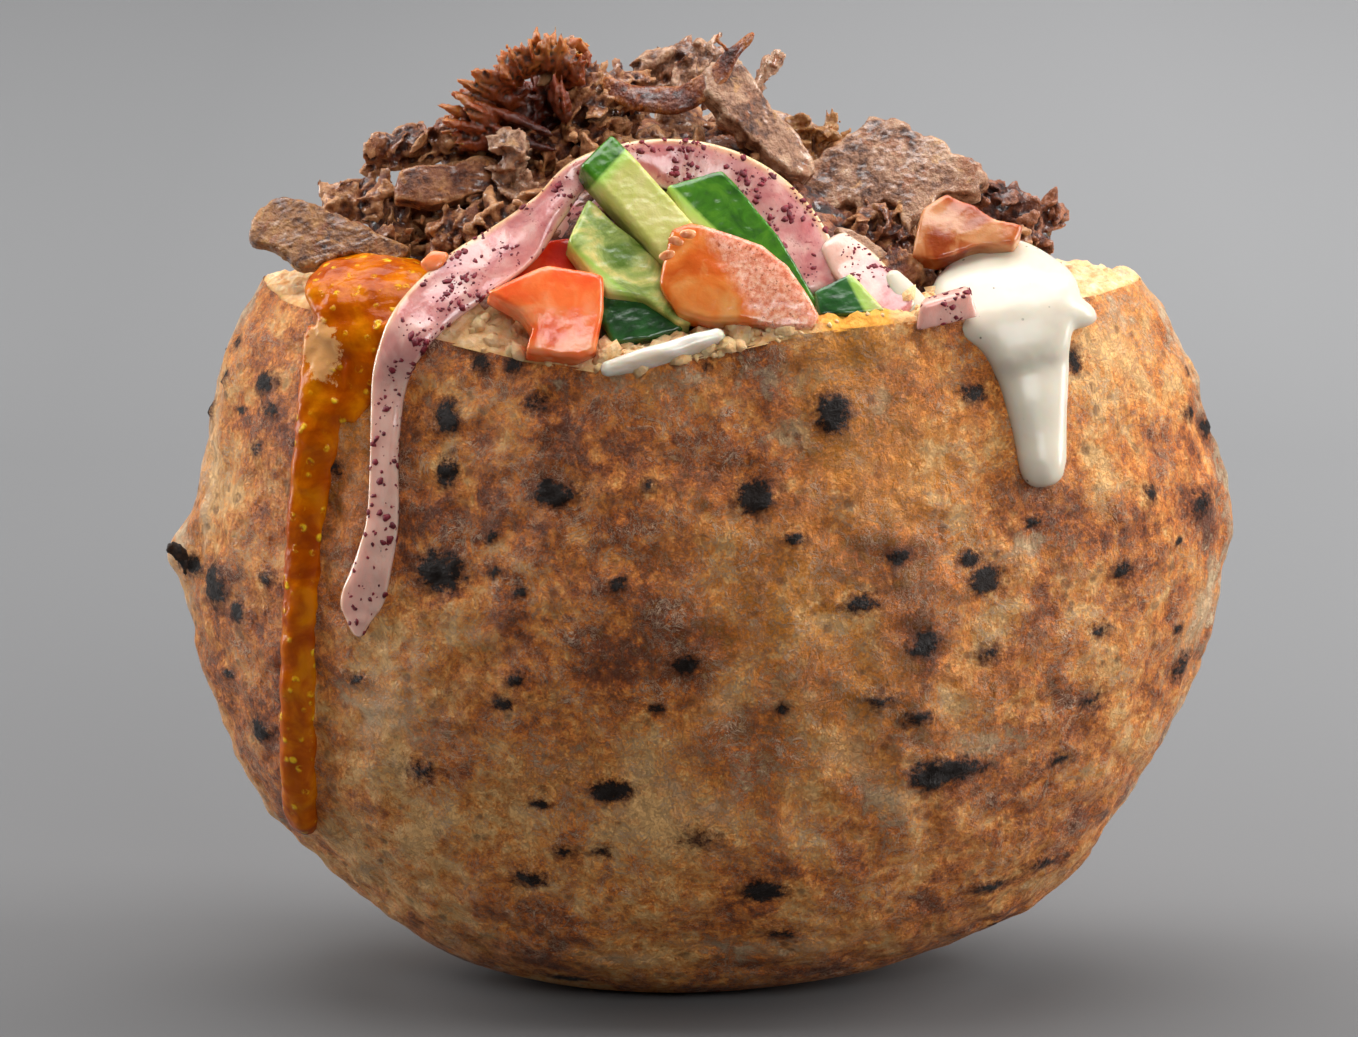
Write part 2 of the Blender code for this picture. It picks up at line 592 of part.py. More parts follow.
def make_tomatoes(red):
    return [
        hull_piece("tomato_front", (
            (-31.0, -32.0, 107.4), (-21.6, -28.0, 110.9), (-14.4, -27.6, 110.5), (-13.4, -33.0, 107.8),
            (-14.2, -35.6, 99.6), (-19.4, -35.8, 98.4), (-23.2, -35.2, 100.0), (-24.6, -34.4, 103.8),
            (-22.6, -26.6, 103.0), (-14.8, -26.2, 102.4)), 0.9, red),
        hull_piece("tomato_seeded", (
            (-2.8, -25.4, 116.6), (-5.8, -28.0, 112.4), (-5.2, -31.4, 106.2), (-1.8, -33.4, 103.4),
            (15.8, -34.8, 102.6), (17.2, -32.2, 104.6), (12.8, -27.0, 111.4), (4.2, -24.6, 115.4),
            (-0.8, -26.4, 104.6), (12.0, -28.0, 104.4)), 0.9, red),
        hull_piece("tomato_back", (
            (-27.0, -20.6, 109.6), (-25.4, -20.0, 113.4), (-19.6, -19.4, 114.4), (-17.8, -20.2, 110.4),
            (-19.0, -14.6, 112.6), (-25.4, -14.8, 112.0), (-22.0, -19.6, 107.4)), 0.7, red),
        hull_piece("tomato_right", (
            (30.8, -18.0, 113.8), (31.4, -19.8, 111.0), (31.4, -14.8, 117.2), (36.0, -12.0, 119.2),
            (45.2, -14.4, 114.0), (43.0, -17.2, 112.2), (36.0, -19.6, 110.6), (35.0, -11.0, 112.6),
            (42.0, -12.0, 111.4)), 0.8, red),
        hull_piece("tomato_bit", (
            (-39.4, -24.2, 111.0), (-37.6, -24.0, 113.2), (-34.6, -20.4, 113.6), (-35.6, -21.4, 110.0),
            (-39.2, -19.6, 111.6)), 0.5, red),
    ]


def run_down_front(places, proud):
    """Rows of a run of sauce that lies on the crust's front: each place is x, z, width and thickness."""
    return [(x, crust_front(x, z) - proud, z, width, thickness, (x / 75.0)**3, -1.0, 0.1)
            for x, z, width, thickness in places]


def make_sauces(mango, sesame):
    """Each sauce pools on the filling, crosses the rim and runs down the front in one tongue."""
    mango_pool = [
        (-43.0, -12.5, 109.6, 11.0, 5.0, -0.1, -0.5, 0.85),
        (-47.5, -18.0, 108.0, 21.0, 6.0, -0.1, -0.5, 0.85),
        (-49.8, -23.5, 105.2, 19.5, 5.6, -0.1, -0.6, 0.8),
        (-50.6, -27.6, 101.2, 15.0, 5.2, -0.2, -0.9, 0.4),
    ]
    mango_run = run_down_front((
        (-53.8, 95.0, 9.6, 4.6), (-54.6, 87.0, 8.0, 4.2), (-55.4, 77.0, 7.2, 4.2), (-56.2, 65.0, 6.8, 4.2),
        (-57.0, 50.0, 6.2, 4.0), (-57.4, 37.0, 6.0, 4.2), (-57.6, 30.0, 5.8, 4.4), (-57.4, 26.6, 4.0, 3.4)), 0.5)
    sesame_pool = [
        (37.6, -13.5, 109.4, 9.0, 4.4, 0, -0.5, 0.85),
        (40.6, -18.0, 108.4, 18.0, 5.8, 0, -0.5, 0.85),
        (43.4, -23.0, 106.6, 20.0, 6.0, 0, -0.5, 0.85),
        (45.2, -28.5, 103.0, 14.4, 5.6, 0, -0.8, 0.55),
    ]
    sesame_run = run_down_front((
        (46.2, 98.6, 10.4, 5.0), (47.2, 93.0, 9.0, 4.6), (47.9, 87.6, 7.6, 4.4), (48.3, 84.2, 6.4, 4.4),
        (48.5, 81.8, 4.2, 3.4)), 0.5)
    return [
        ribbon("sesame_sauce", sesame_pool + sesame_run, 17, 10, 0.85, sesame),
        ribbon("mango_sauce", mango_pool + mango_run, 22, 10, 0.85, mango),
        lump("sesame_smear", (28.6, -24.6, 107.2), (2.4, 2.6, 3.4), (0.0, 0.5, 0.0), 5, sesame, 2, 0.2),
    ]


def main():
    clear_scene()
    crust = look("crust", (0.58, 0.31, 0.13), 0.7)
    brown = look("meat", (0.24, 0.12, 0.07), 0.5)
    dark = look("meat_dark", (0.11, 0.045, 0.03), 0.45)
    fatty = look("meat_fatty", (0.32, 0.14, 0.04), 0.4)
    pink = look("onion_pickled", (0.72, 0.34, 0.35), 0.35)
    white = look("onion_white", (0.8, 0.76, 0.66), 0.35)
    green = look("cucumber", (0.16, 0.34, 0.05), 0.3)
    red = look("tomato", (0.75, 0.14, 0.04), 0.28)
    mango = look("mango_sauce", (0.7, 0.28, 0.01), 0.25)
    sesame = look("sesame_sauce", (0.82, 0.79, 0.71), 0.3)

    bread = make_bread(crust)
    tomatoes = make_tomatoes(red)
    cucumbers = make_cucumbers(green)
    onions = make_onions(pink, white)
    meat = make_meat_pieces(brown, dark, fatty)
    sauces = make_sauces(mango, sesame)
    heap = make_heap(brown)

    # Each piece is cut back from those before it, so the ones that show most come first
    order = [bread, *tomatoes[:2], *cucumbers[:3], *onions[:3], tomatoes[3], *meat[:6], *cucumbers[3:],
             *onions[3:], tomatoes[2], tomatoes[4], *sauces, *meat[6:]]
    swollen = []
    for piece in order:
        done = order[:order.index(piece)]
        carve(piece, done + swollen)
        swollen.append(grown_copy(piece, GAP))
    for cutter in swollen:
        bpy.data.objects.remove(cutter)
    bed(heap, order)


main()
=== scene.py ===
"""Dresses the doner kebab sandwich half: bread, meat, vegetables, sauces and spice."""
import math
import random

import bmesh
import bpy
import numpy as np
from mathutils import Matrix, Vector, noise
from mathutils.bvhtree import BVHTree


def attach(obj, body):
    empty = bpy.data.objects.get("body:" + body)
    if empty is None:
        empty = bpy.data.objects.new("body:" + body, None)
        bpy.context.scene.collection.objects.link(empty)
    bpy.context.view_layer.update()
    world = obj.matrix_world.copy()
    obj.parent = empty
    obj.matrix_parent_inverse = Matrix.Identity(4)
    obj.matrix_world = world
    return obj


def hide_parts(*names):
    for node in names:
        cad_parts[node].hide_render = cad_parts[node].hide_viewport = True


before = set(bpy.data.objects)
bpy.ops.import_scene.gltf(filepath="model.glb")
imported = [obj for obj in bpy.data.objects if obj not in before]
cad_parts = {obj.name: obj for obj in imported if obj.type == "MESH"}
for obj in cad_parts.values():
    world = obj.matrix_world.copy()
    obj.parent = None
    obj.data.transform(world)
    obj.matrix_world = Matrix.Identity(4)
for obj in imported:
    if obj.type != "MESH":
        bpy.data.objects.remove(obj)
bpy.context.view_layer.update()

# Shapes are worked out in millimetres, and become metres where a mesh is made
MM = 0.001

# The camera: what it looks at, how far away and how high it stands, and its lens
TARGET = np.array((-2.9, 0.0, 69.4))
DISTANCE = 900.0
ELEVATION = math.radians(12.0)
LENS = 162.3
SENSOR = 36.0
PHOTO_WIDTH = 1358
PHOTO_HEIGHT = 1037
PIXEL = 0.147
EYE = TARGET + DISTANCE * np.array((0.0, -math.cos(ELEVATION), math.sin(ELEVATION)))
AHEAD = np.array((0.0, math.cos(ELEVATION), -math.sin(ELEVATION)))
UPWARD = np.array((0.0, math.sin(ELEVATION), math.cos(ELEVATION)))

# The bread's outline at a few heights: height, left, right, front depth, back depth
BREAD_SECTIONS = (
    (0.0, -22.0, 15.0, 10.0, 10.0),
    (1.0, -28.5, 21.0, 13.5, 13.0),
    (4.0, -37.5, 34.0, 19.0, 18.5),
    (10.0, -46.5, 47.5, 26.0, 25.5),
    (18.0, -56.0, 56.5, 32.0, 31.5),
    (28.0, -65.0, 64.0, 36.5, 36.0),
    (42.0, -71.5, 71.5, 40.0, 39.5),
    (58.0, -73.5, 75.5, 41.5, 41.0),
    (74.0, -73.0, 77.0, 41.0, 40.5),
    (88.0, -70.6, 73.6, 39.0, 38.5),
    (98.0, -66.8, 68.6, 37.0, 36.3),
    (106.0, -62.0, 63.6, 35.6, 34.5),
)
RIM_HEIGHT = 105.5
FRONT_RIM = ((-62.0, 104.5), (-50.0, 103.0), (-36.0, 101.3), (-25.0, 99.5), (-14.0, 98.3), (0.0, 100.2),
             (8.0, 101.9), (14.0, 103.3), (22.0, 104.1), (31.0, 104.6), (50.0, 105.1), (63.0, 105.4))
RIM_SLANT = 2.2
TORN_SLANT = 3.4
TORN_AT = -33.0
TORN_REACH = 8.0
BACK_RIM_DIP = 2.5
FACE_WALL = 7.5
END_WALL = 12.0
SEAM_PINCH = 0.12
SEAM_BEAD = 0.6
SEAM_REACH = 0.12
BLISTER_PROUD = 3.2
BLISTER_AT = 64.0
BLISTER_REACH = 5.0
LUMP_LENGTH = 24.0
LUMP_PROUD = 1.7
SWELLING_LENGTH = 9.0
SWELLING_PROUD = 0.7
LUMPS_FROM = 7.0
CRUST_AROUND = 420
CRUST_UP = 208
CRUMB_AROUND = 420
RINGS_LOWER_DOWN = 1.35

# Burnt spots on the front, in the photo's pixels: across, down, half width, half height, how black
BURNT_SPOTS = (
    (267, 382, 10, 12, 0.8), (447, 416, 12, 15, 0.9), (447, 473, 9, 16, 0.8), (332, 468, 8, 9, 0.6),
    (256, 449, 5, 6, 0.5), (557, 494, 20, 11, 0.9), (548, 486, 10, 8, 0.9), (648, 486, 6, 6, 0.6),
    (538, 401, 9, 8, 0.5), (514, 366, 8, 9, 0.6), (481, 362, 8, 9, 0.6), (833, 413, 16, 19, 0.95),
    (756, 497, 17, 17, 1.0), (974, 393, 12, 9, 0.6), (1073, 359, 8, 12, 0.7), (1151, 493, 8, 8, 0.6),
    (1205, 428, 8, 12, 0.7), (1190, 412, 9, 8, 0.5), (1033, 522, 8, 6, 0.8), (440, 571, 22, 20, 1.0),
    (492, 537, 7, 7, 0.6), (495, 572, 8, 6, 0.7), (520, 592, 8, 6, 0.6), (618, 584, 8, 7, 0.8),
    (900, 557, 13, 8, 0.9), (969, 559, 10, 8, 0.9), (985, 580, 16, 13, 1.0), (795, 539, 11, 5, 0.8),
    (924, 645, 15, 12, 0.85), (861, 604, 15, 8, 0.6), (989, 653, 10, 8, 0.5), (1101, 630, 9, 7, 0.5),
    (1123, 570, 10, 8, 0.5), (685, 665, 12, 11, 0.85), (655, 709, 8, 5, 0.7), (782, 710, 6, 5, 0.5),
    (918, 718, 12, 8, 0.6), (932, 776, 19, 17, 0.95), (952, 770, 32, 12, 0.9), (515, 680, 8, 7, 0.7),
    (502, 704, 9, 7, 0.7), (356, 680, 9, 6, 0.5), (260, 730, 14, 13, 0.8), (611, 791, 20, 10, 0.95),
    (539, 804, 10, 5, 0.6), (531, 879, 15, 9, 0.6), (564, 852, 9, 6, 0.5), (603, 852, 8, 6, 0.5),
    (762, 891, 19, 13, 1.0), (782, 934, 12, 7, 0.5), (989, 887, 18, 8, 0.6), (1134, 788, 14, 10, 0.6),
    (1043, 864, 14, 8, 0.4), (566, 978, 15, 8, 0.8), (310, 542, 9, 10, 0.9), (215, 585, 14, 22, 0.9),
    (238, 612, 9, 14, 0.8), (192, 566, 14, 9, 0.9), (212, 408, 4, 9, 0.6), (708, 367, 5, 4, 0.8),
    (330, 340, 9, 12, 0.5), (272, 410, 12, 7, 0.5), (266, 578, 8, 7, 0.6), (420, 770, 12, 9, 0.35),
    (880, 700, 14, 8, 0.35), (1090, 700, 12, 8, 0.35), (1060, 760, 10, 7, 0.35), (700, 840, 12, 8, 0.3),
)
# Pale spots where the dough stayed light, in the same pixels: across, down, half width, half height, strength
PALE_SPOTS = (
    (225, 350, 14, 60, 0.9), (213, 470, 12, 70, 0.8), (205, 520, 10, 40, 0.9), (1207, 415, 16, 34, 0.9),
    (1208, 600, 20, 52, 1.0), (1190, 640, 20, 40, 0.7), (385, 365, 26, 16, 0.9), (790, 440, 20, 22, 0.8),
    (880, 400, 12, 30, 0.7), (1020, 550, 40, 14, 0.6), (985, 745, 40, 18, 0.7), (890, 800, 34, 22, 0.6),
    (760, 700, 60, 24, 0.45), (380, 720, 60, 34, 0.55), (640, 780, 90, 40, 0.35), (780, 950, 90, 18, 0.5),
    (640, 960, 60, 14, 0.5), (540, 350, 120, 10, 0.45), (700, 380, 160, 16, 0.3), (1120, 330, 40, 40, 0.3),
    (720, 800, 60, 50, 0.35), (860, 750, 60, 30, 0.4),
)
STAINS = ((858, 345, 36, 34, 1.7), (845, 420, 50, 120, 0.9), (800, 600, 90, 90, 0.6),
          (900, 470, 70, 130, 0.5), (850, 700, 120, 60, 0.4), (350, 400, 34, 120, 0.5))
# Where the crust is darker than elsewhere, or paler where the last number is below 0: partly real toasting,
# partly painted light and shade, darker on the middle of the front and paler low on the front and on the
# right
TONES = ((560, 430, 170, 70, 0.9), (600, 640, 120, 90, 0.7), (400, 560, 90, 120, 0.2),
         (930, 390, 110, 110, -0.7), (1120, 420, 60, 140, -0.6), (1080, 650, 90, 110, -0.2),
         (400, 830, 110, 90, -0.5), (850, 950, 200, 40, -0.3), (660, 940, 120, 40, 0.3),
         (240, 480, 40, 150, -0.5), (600, 830, 260, 110, -0.7), (420, 640, 120, 120, -0.4))


def smooth_rows(rows, samples):
    """Rows read off a smooth curve through the given rows, both ends included."""
    rows = np.asarray(rows, float)
    ends = np.vstack([2 * rows[0] - rows[1], rows, 2 * rows[-1] - rows[-2]])
    found = []
    for along in np.linspace(0, len(rows) - 1, samples):
        step = min(int(along), len(rows) - 2)
        t = along - step
        a, b, c, d = ends[step:step + 4]
        found.append(0.5 * (2 * b + (c - a) * t + (2 * a - 5 * b + 4 * c - d) * t**2
                            + (3 * b - a - 3 * c + d) * t**3))
    return np.array(found)


def unit(vector):
    return np.asarray(vector, float) / np.linalg.norm(vector)


def units(vectors):
    return vectors / np.maximum(np.linalg.norm(vectors, axis=-1, keepdims=True), 1e-9)


def bumps(points, size, seed=0.0):
    """Smooth noise from -1 to 1 at each point. Size is that of its features, or one per axis."""
    places = np.asarray(points, float) / size + np.array((seed * 1.37, seed * 2.11, seed * 0.73))
    return np.array([noise.noise(place) for place in places.tolist()])


def creased(points, size, seed=0.0, octaves=3):
    """Rounded lumps with sharp creases between them, from 0 upwards, about the given size."""
    places = np.asarray(points, float) / size + np.array((seed * 1.37, seed * 2.11, seed * 0.73))
    return np.array([noise.turbulence(place, octaves, True, amplitude_scale=0.55, frequency_scale=2.1)
                     for place in places.tolist()])


# Mesh helpers

def mesh_object(name, points, faces, material=None):
    """A smooth-shaded object from points in millimetres."""
    mesh = bpy.data.meshes.new(name)
    mesh.from_pydata((np.asarray(points) * MM).tolist(), [], faces)
    if material:
        mesh.materials.append(material)
    mesh.shade_smooth()
    made = bpy.data.objects.new(name, mesh)
    bpy.context.scene.collection.objects.link(made)
    return made


def grid_faces(rings, around):
    """Quads between rings of points that turn the same way."""
    faces = []
    for low in range(rings - 1):
        for i in range(around):
            j = (i + 1) % around
            faces.append((low * around + i, low * around + j, (low + 1) * around + j,
                          (low + 1) * around + i))
    return faces


def places_of(made):
    """The points of an object's mesh, in millimetres."""
    found = np.empty(len(made.data.vertices) * 3)
    made.data.vertices.foreach_get("co", found)
    return found.reshape(-1, 3) / MM


def normals_of(made):
    found = np.empty(len(made.data.vertices) * 3, np.float32)
    made.data.vertex_normals.foreach_get("vector", found)
    return found.reshape(-1, 3).astype(float)


def put_places(made, places):
    made.data.vertices.foreach_set("co", (np.asarray(places) * MM).astype(np.float32).ravel())
    made.data.update()


def mark(made, name, values):
    """Keeps one number for each point of the mesh, for its material."""
    layer = made.data.attributes.new(name, "FLOAT", "POINT")
    layer.data.foreach_set("value", np.asarray(values, np.float32))


def bake(made):
    """Applies the object's modifiers."""
    graph = bpy.context.evaluated_depsgraph_get()
    mesh = bpy.data.meshes.new_from_object(made.evaluated_get(graph), depsgraph=graph)
    made.modifiers.clear()
    made.data = mesh
    return made


def join(name, parts):
    """One object of all the parts, which are removed."""
    shape = bmesh.new()
    for part in parts:
        shape.from_mesh(part.data)
        bpy.data.objects.remove(part)
    mesh = bpy.data.meshes.new(name)
    shape.to_mesh(mesh)
    shape.free()
    made = bpy.data.objects.new(name, mesh)
    bpy.context.scene.collection.objects.link(made)
    return made


def remesh(made, voxel, smoothing=3):
    """Fuses what overlaps into one even skin, and rounds it."""
    step = made.modifiers.new("skin", "REMESH")
    step.mode = "VOXEL"
    step.voxel_size = voxel * MM
    if smoothing:
        soften = made.modifiers.new("soften", "SMOOTH")
        soften.factor = 0.5
        soften.iterations = smoothing
    bake(made)
    made.data.shade_smooth()
    return made


def look_like(made, material):
    made.data.materials.clear()
    made.data.materials.append(material)
    made.data.shade_smooth()


def dress(made, material, slot, *nodes):
    """Gives a piece its material and fixes it in place."""
    look_like(made, material)
    return ride(made, slot, *nodes)


def ride(made, slot, *nodes):
    """Fixes a piece to the sandwich, and hides the solids it stands for. The slot is not used."""
    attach(made, "root")
    if nodes:
        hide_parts(*nodes)
    return made


# The camera's rays

def ray(across, down):
    """The direction in which the camera sees a pixel of the photo."""
    half = SENSOR / 2 / LENS
    right = (across - PHOTO_WIDTH / 2) / (PHOTO_WIDTH / 2) * half
    high = (PHOTO_HEIGHT / 2 - down) / (PHOTO_WIDTH / 2) * half
    return unit(AHEAD + right * np.array((1.0, 0.0, 0.0)) + high * UPWARD)


def on_plane(across, down, point, normal):
    """Where a pixel's ray meets a plane."""
    way = ray(across, down)
    return EYE + way * np.dot(np.asarray(point) - EYE, normal) / np.dot(way, normal)


def pixels_of(places):
    """Where the camera sees each place, in the photo's pixels."""
    away = places - EYE
    scale = (PHOTO_WIDTH / 2) / (SENSOR / 2 / LENS) / (away @ AHEAD)
    return np.stack([PHOTO_WIDTH / 2 + away[:, 0] * scale, PHOTO_HEIGHT / 2 - (away @ UPWARD) * scale],
                    axis=-1)


def beyond(places, start, end):
    """How many millimetres each place lies to the left of the line from start to end, in the photo."""
    seen = pixels_of(places)
    way = unit((end[0] - start[0], end[1] - start[1]))
    return ((seen[:, 0] - start[0]) * way[1] - (seen[:, 1] - start[1]) * way[0]) * PIXEL


def tree_of(made):
    places = places_of(made)
    return BVHTree.FromPolygons(places.tolist(), [tuple(p.vertices) for p in made.data.polygons])


def on_surface(tree, across, down):
    """Where a pixel's ray meets a surface, and the surface's normal there."""
    place, normal, _, _ = tree.ray_cast(Vector(EYE), Vector(ray(across, down)))
    return place, normal


# Material helpers

MIDDLE = 0.5


class Look:
    """A material under construction: its nodes, its shader and its coordinates in metres."""

    def __init__(self, name, roughness=0.5, **sockets):
        self.material = bpy.data.materials.new(name)
        self.material.use_nodes = True
        self.nodes = self.material.node_tree.nodes
        self.links = self.material.node_tree.links
        self.shader = self.nodes["Principled BSDF"]
        self.shader.inputs["Roughness"].default_value = roughness
        for socket, value in sockets.items():
            self.shader.inputs[socket.replace("_", " ")].default_value = value
        self.place = self.nodes.new("ShaderNodeTexCoord").outputs["Object"]

    def add(self, kind, output, inputs, **settings):
        node = self.nodes.new(kind)
        for name, value in settings.items():
            setattr(node, name, value)
        for name, value in inputs.items():
            if isinstance(value, bpy.types.NodeSocket):
                self.links.new(value, node.inputs[name])
            else:
                node.inputs[name].default_value = value
        return node.outputs[output]

    def noise(self, size, detail=4.0, rough=0.6, stretch=None, warp=0.0):
        """Noise with features of size millimetres, from 0 to 1."""
        place = self.place
        if stretch:
            place = self.add("ShaderNodeMapping", "Vector", {"Vector": place, "Scale": stretch})
        return self.add("ShaderNodeTexNoise", "Fac", {"Vector": place, "Scale": 1.0 / (size * MM),
                                                      "Detail": detail, "Roughness": rough,
                                                      "Distortion": warp})

    def cells(self, size):
        """The distance to the nearest of scattered points that are about size millimetres apart."""
        return self.add("ShaderNodeTexVoronoi", "Distance",
                        {"Vector": self.place, "Scale": 1.0 / (size * MM)})

    def kept(self, name):
        """A number that the mesh keeps for each point."""
        return self.add("ShaderNodeAttribute", "Fac", {}, attribute_name=name)

    def range(self, value, low, high, to_low=0.0, to_high=1.0):
        return self.add("ShaderNodeMapRange", "Result", {"Value": value, "From Min": low, "From Max": high,
                                                         "To Min": to_low, "To Max": to_high})

    def math(self, operation, one, other=0.0):
        return self.add("ShaderNodeMath", "Value", {0: one, 1: other}, operation=operation)

    def times(self, one, other):
        return self.math("MULTIPLY", one, other)

    def total(self, *parts):
        """The sum of the parts. A part may be a pair: a number and its weight."""
        parts = [self.times(*part) if isinstance(part, tuple) else part for part in parts]
        found = parts[0]
        for part in parts[1:]:
            found = self.math("ADD", found, part)
        return found

    def swing(self, value, reach):
        """A number from 0 to 1 made to swing about 0, and scaled by reach."""
        return self.times(self.math("SUBTRACT", value, MIDDLE), reach)

    def crease(self, value):
        """How far a number from 0 to 1 is from its middle."""
        return self.math("ABSOLUTE", self.math("SUBTRACT", value, MIDDLE))

    def mix(self, share, one, other):
        """One colour turning into another. A colour may be three numbers."""
        one = (*one, 1.0) if isinstance(one, tuple) else one
        other = (*other, 1.0) if isinstance(other, tuple) else other
        return self.add("ShaderNodeMix", 2, {0: share, 6: one, 7: other}, data_type="RGBA")

    def ramp(self, value, *stops):
        """Colours at places from 0 to 1."""
        node = self.nodes.new("ShaderNodeValToRGB")
        self.links.new(value, node.inputs["Fac"])
        points = node.color_ramp.elements
        while len(points) < len(stops):
            points.new(1.0)
        for point, (at, colour) in zip(points, stops):
            point.position = at
            point.color = (*colour, 1.0)
        return node.outputs["Color"]

    def colour(self, socket):
        self.links.new(socket, self.shader.inputs["Base Color"])

    def set(self, name, socket):
        self.links.new(socket, self.shader.inputs[name])

    def bump(self, height, depth):
        """Relief of the given depth in millimetres."""
        normal = self.add("ShaderNodeBump", "Normal", {"Height": height, "Distance": depth * MM,
                                                       "Strength": 1.0})
        self.links.new(normal, self.shader.inputs["Normal"])


# Bread

PROFILE = smooth_rows(BREAD_SECTIONS, 240)


def skin(angle, z, end_wall=0.0, face_wall=0.0, share=1.0):
    """Points round the bread at their heights, set in by the walls, and drawn to the middle by share."""
    left, right, front, back = (np.interp(z, PROFILE[:, 0], PROFILE[:, column]) for column in range(1, 5))
    turn = np.sin(angle)
    depth = np.where(turn > 0, back, front) - face_wall
    x = (left + right) / 2 + share * ((right - left) / 2 - end_wall) * np.cos(angle)
    return np.stack([x, share * depth * turn * np.abs(turn)**SEAM_PINCH, z], axis=-1)


def rim_heights(angle):
    """The height of the cut's outer edge at each angle."""
    x = skin(angle, np.full(len(angle), RIM_HEIGHT))[:, 0]
    front_x, front_z = zip(*FRONT_RIM)
    share = np.clip(-3.0 * np.sin(angle), 0.0, 1.0)
    front = RIM_HEIGHT + (np.interp(x, front_x, front_z) - RIM_HEIGHT) * share
    return np.where(np.sin(angle) > 0, RIM_HEIGHT - BACK_RIM_DIP * np.sin(angle), front)


def crust(angle, z):
    """Points of the crust, with its lumps, the seam's bead at both ends and the blister on the left."""
    points = skin(angle, z)
    left, right, front, _ = (np.interp(z, PROFILE[:, 0], PROFILE[:, column]) for column in range(1, 5))
    outward = units(np.stack([np.cos(angle) / (right - left) * 2, np.sin(angle) / front, 0 * z], axis=-1))
    near_seam = np.exp(-(np.sin(angle) / SEAM_REACH)**2)
    swell = LUMP_PROUD * bumps(points, LUMP_LENGTH)
    small = points / SWELLING_LENGTH + np.array((7.0, 3.0, 1.0))
    swell += SWELLING_PROUD * np.array([noise.noise(place) for place in small.tolist()])
    swell += SEAM_BEAD * near_seam
    swell += np.where(np.cos(angle) < 0,
                      BLISTER_PROUD * near_seam * np.exp(-((z - BLISTER_AT) / BLISTER_REACH)**2), 0)
    return points + outward * (swell * np.minimum(1.0, z / LUMPS_FROM))[:, None], outward


def crust_front(x, z):
    """The y of the crust's front at a place across and up."""
    left, right, front, _ = (float(np.interp(z, PROFILE[:, 0], PROFILE[:, column])) for column in range(1,
                                                                                                        5))
    across = max(-1.0, min(1.0, (x - (left + right) / 2) / ((right - left) / 2)))
    turn = math.sqrt(1 - across**2)
    y = -front * turn * turn**SEAM_PINCH
    point = Vector((x, y, z))
    swell = LUMP_PROUD * noise.noise(point / LUMP_LENGTH)
    swell += SWELLING_PROUD * noise.noise(point / SWELLING_LENGTH + Vector((7.0, 3.0, 1.0)))
    return y - swell * turn


def spot_field(places, spots):
    """For each place, how deep it lies in the nearest spot: 1 in the middle, 0 at the edge, less outside."""
    best = np.full(len(places), -1.0)
    for centre, wide, high, side, strength in spots:
        away = places - centre
        across = away @ side
        up = away @ unit(np.cross(side, centre_normal(centre)))
        rest = np.linalg.norm(away, axis=1)**2 - across**2 - up**2
        far = np.sqrt((across / wide)**2 + (up / high)**2 + np.maximum(rest, 0) / max(wide, high)**2)
        best = np.maximum(best, (1 - far) * strength)
    return best


def tone_field(places):
    """How much darker than elsewhere the crust is at each place, seen from the front or the back: partly
    toasting, partly painted light and shade.
    """
    seen = pixels_of(places)
    return sum(strength * np.exp(-((seen[:, 0] - across) / wide)**2 - ((seen[:, 1] - down) / high)**2)
               for across, down, wide, high, strength in TONES)


def centre_normal(centre):
    """Roughly outwards from the bread's middle line at a place."""
    return unit((centre[0] / 75.0**2, centre[1] / 40.0**2, (centre[2] - 62.0) / 62.0**2))


def spots_from_photo(tree, rows):
    found = []
    for across, down, wide, high, strength in rows:
        place, normal = on_surface(tree, across, down)
        if place is None:
            continue
        side = np.cross((0.0, 0.0, 1.0), np.array(normal))
        slant = max(0.35, -normal[1])
        found.append((np.array(place), 1.2 * wide * PIXEL / slant**0.5, 1.2 * high * PIXEL, unit(side),
                      strength))
    return found


def scattered_spots(tree, count, seed, small, large):
    """Spots for the back and the ends, by a seeded rule."""
    draw = random.Random(seed)
    found = []
    while len(found) < count:
        turn = draw.uniform(-0.25, math.pi + 0.25)
        z = draw.uniform(6, 100)
        way = np.array((math.cos(turn), math.sin(turn), 0.0))
        place, normal, _, _ = tree.ray_cast(Vector(way * 150 + np.array((0, 0, z))), Vector(-way))
        if place is None:
            continue
        side = unit(np.cross((0.0, 0.0, 1.0), np.array(normal)))
        size = small + (large - small) * draw.random()**2.5
        found.append((np.array(place), size * draw.uniform(0.9, 1.5), size * draw.uniform(0.7, 1.0), side,
                      draw.uniform(0.45, 1.0)))
    return found


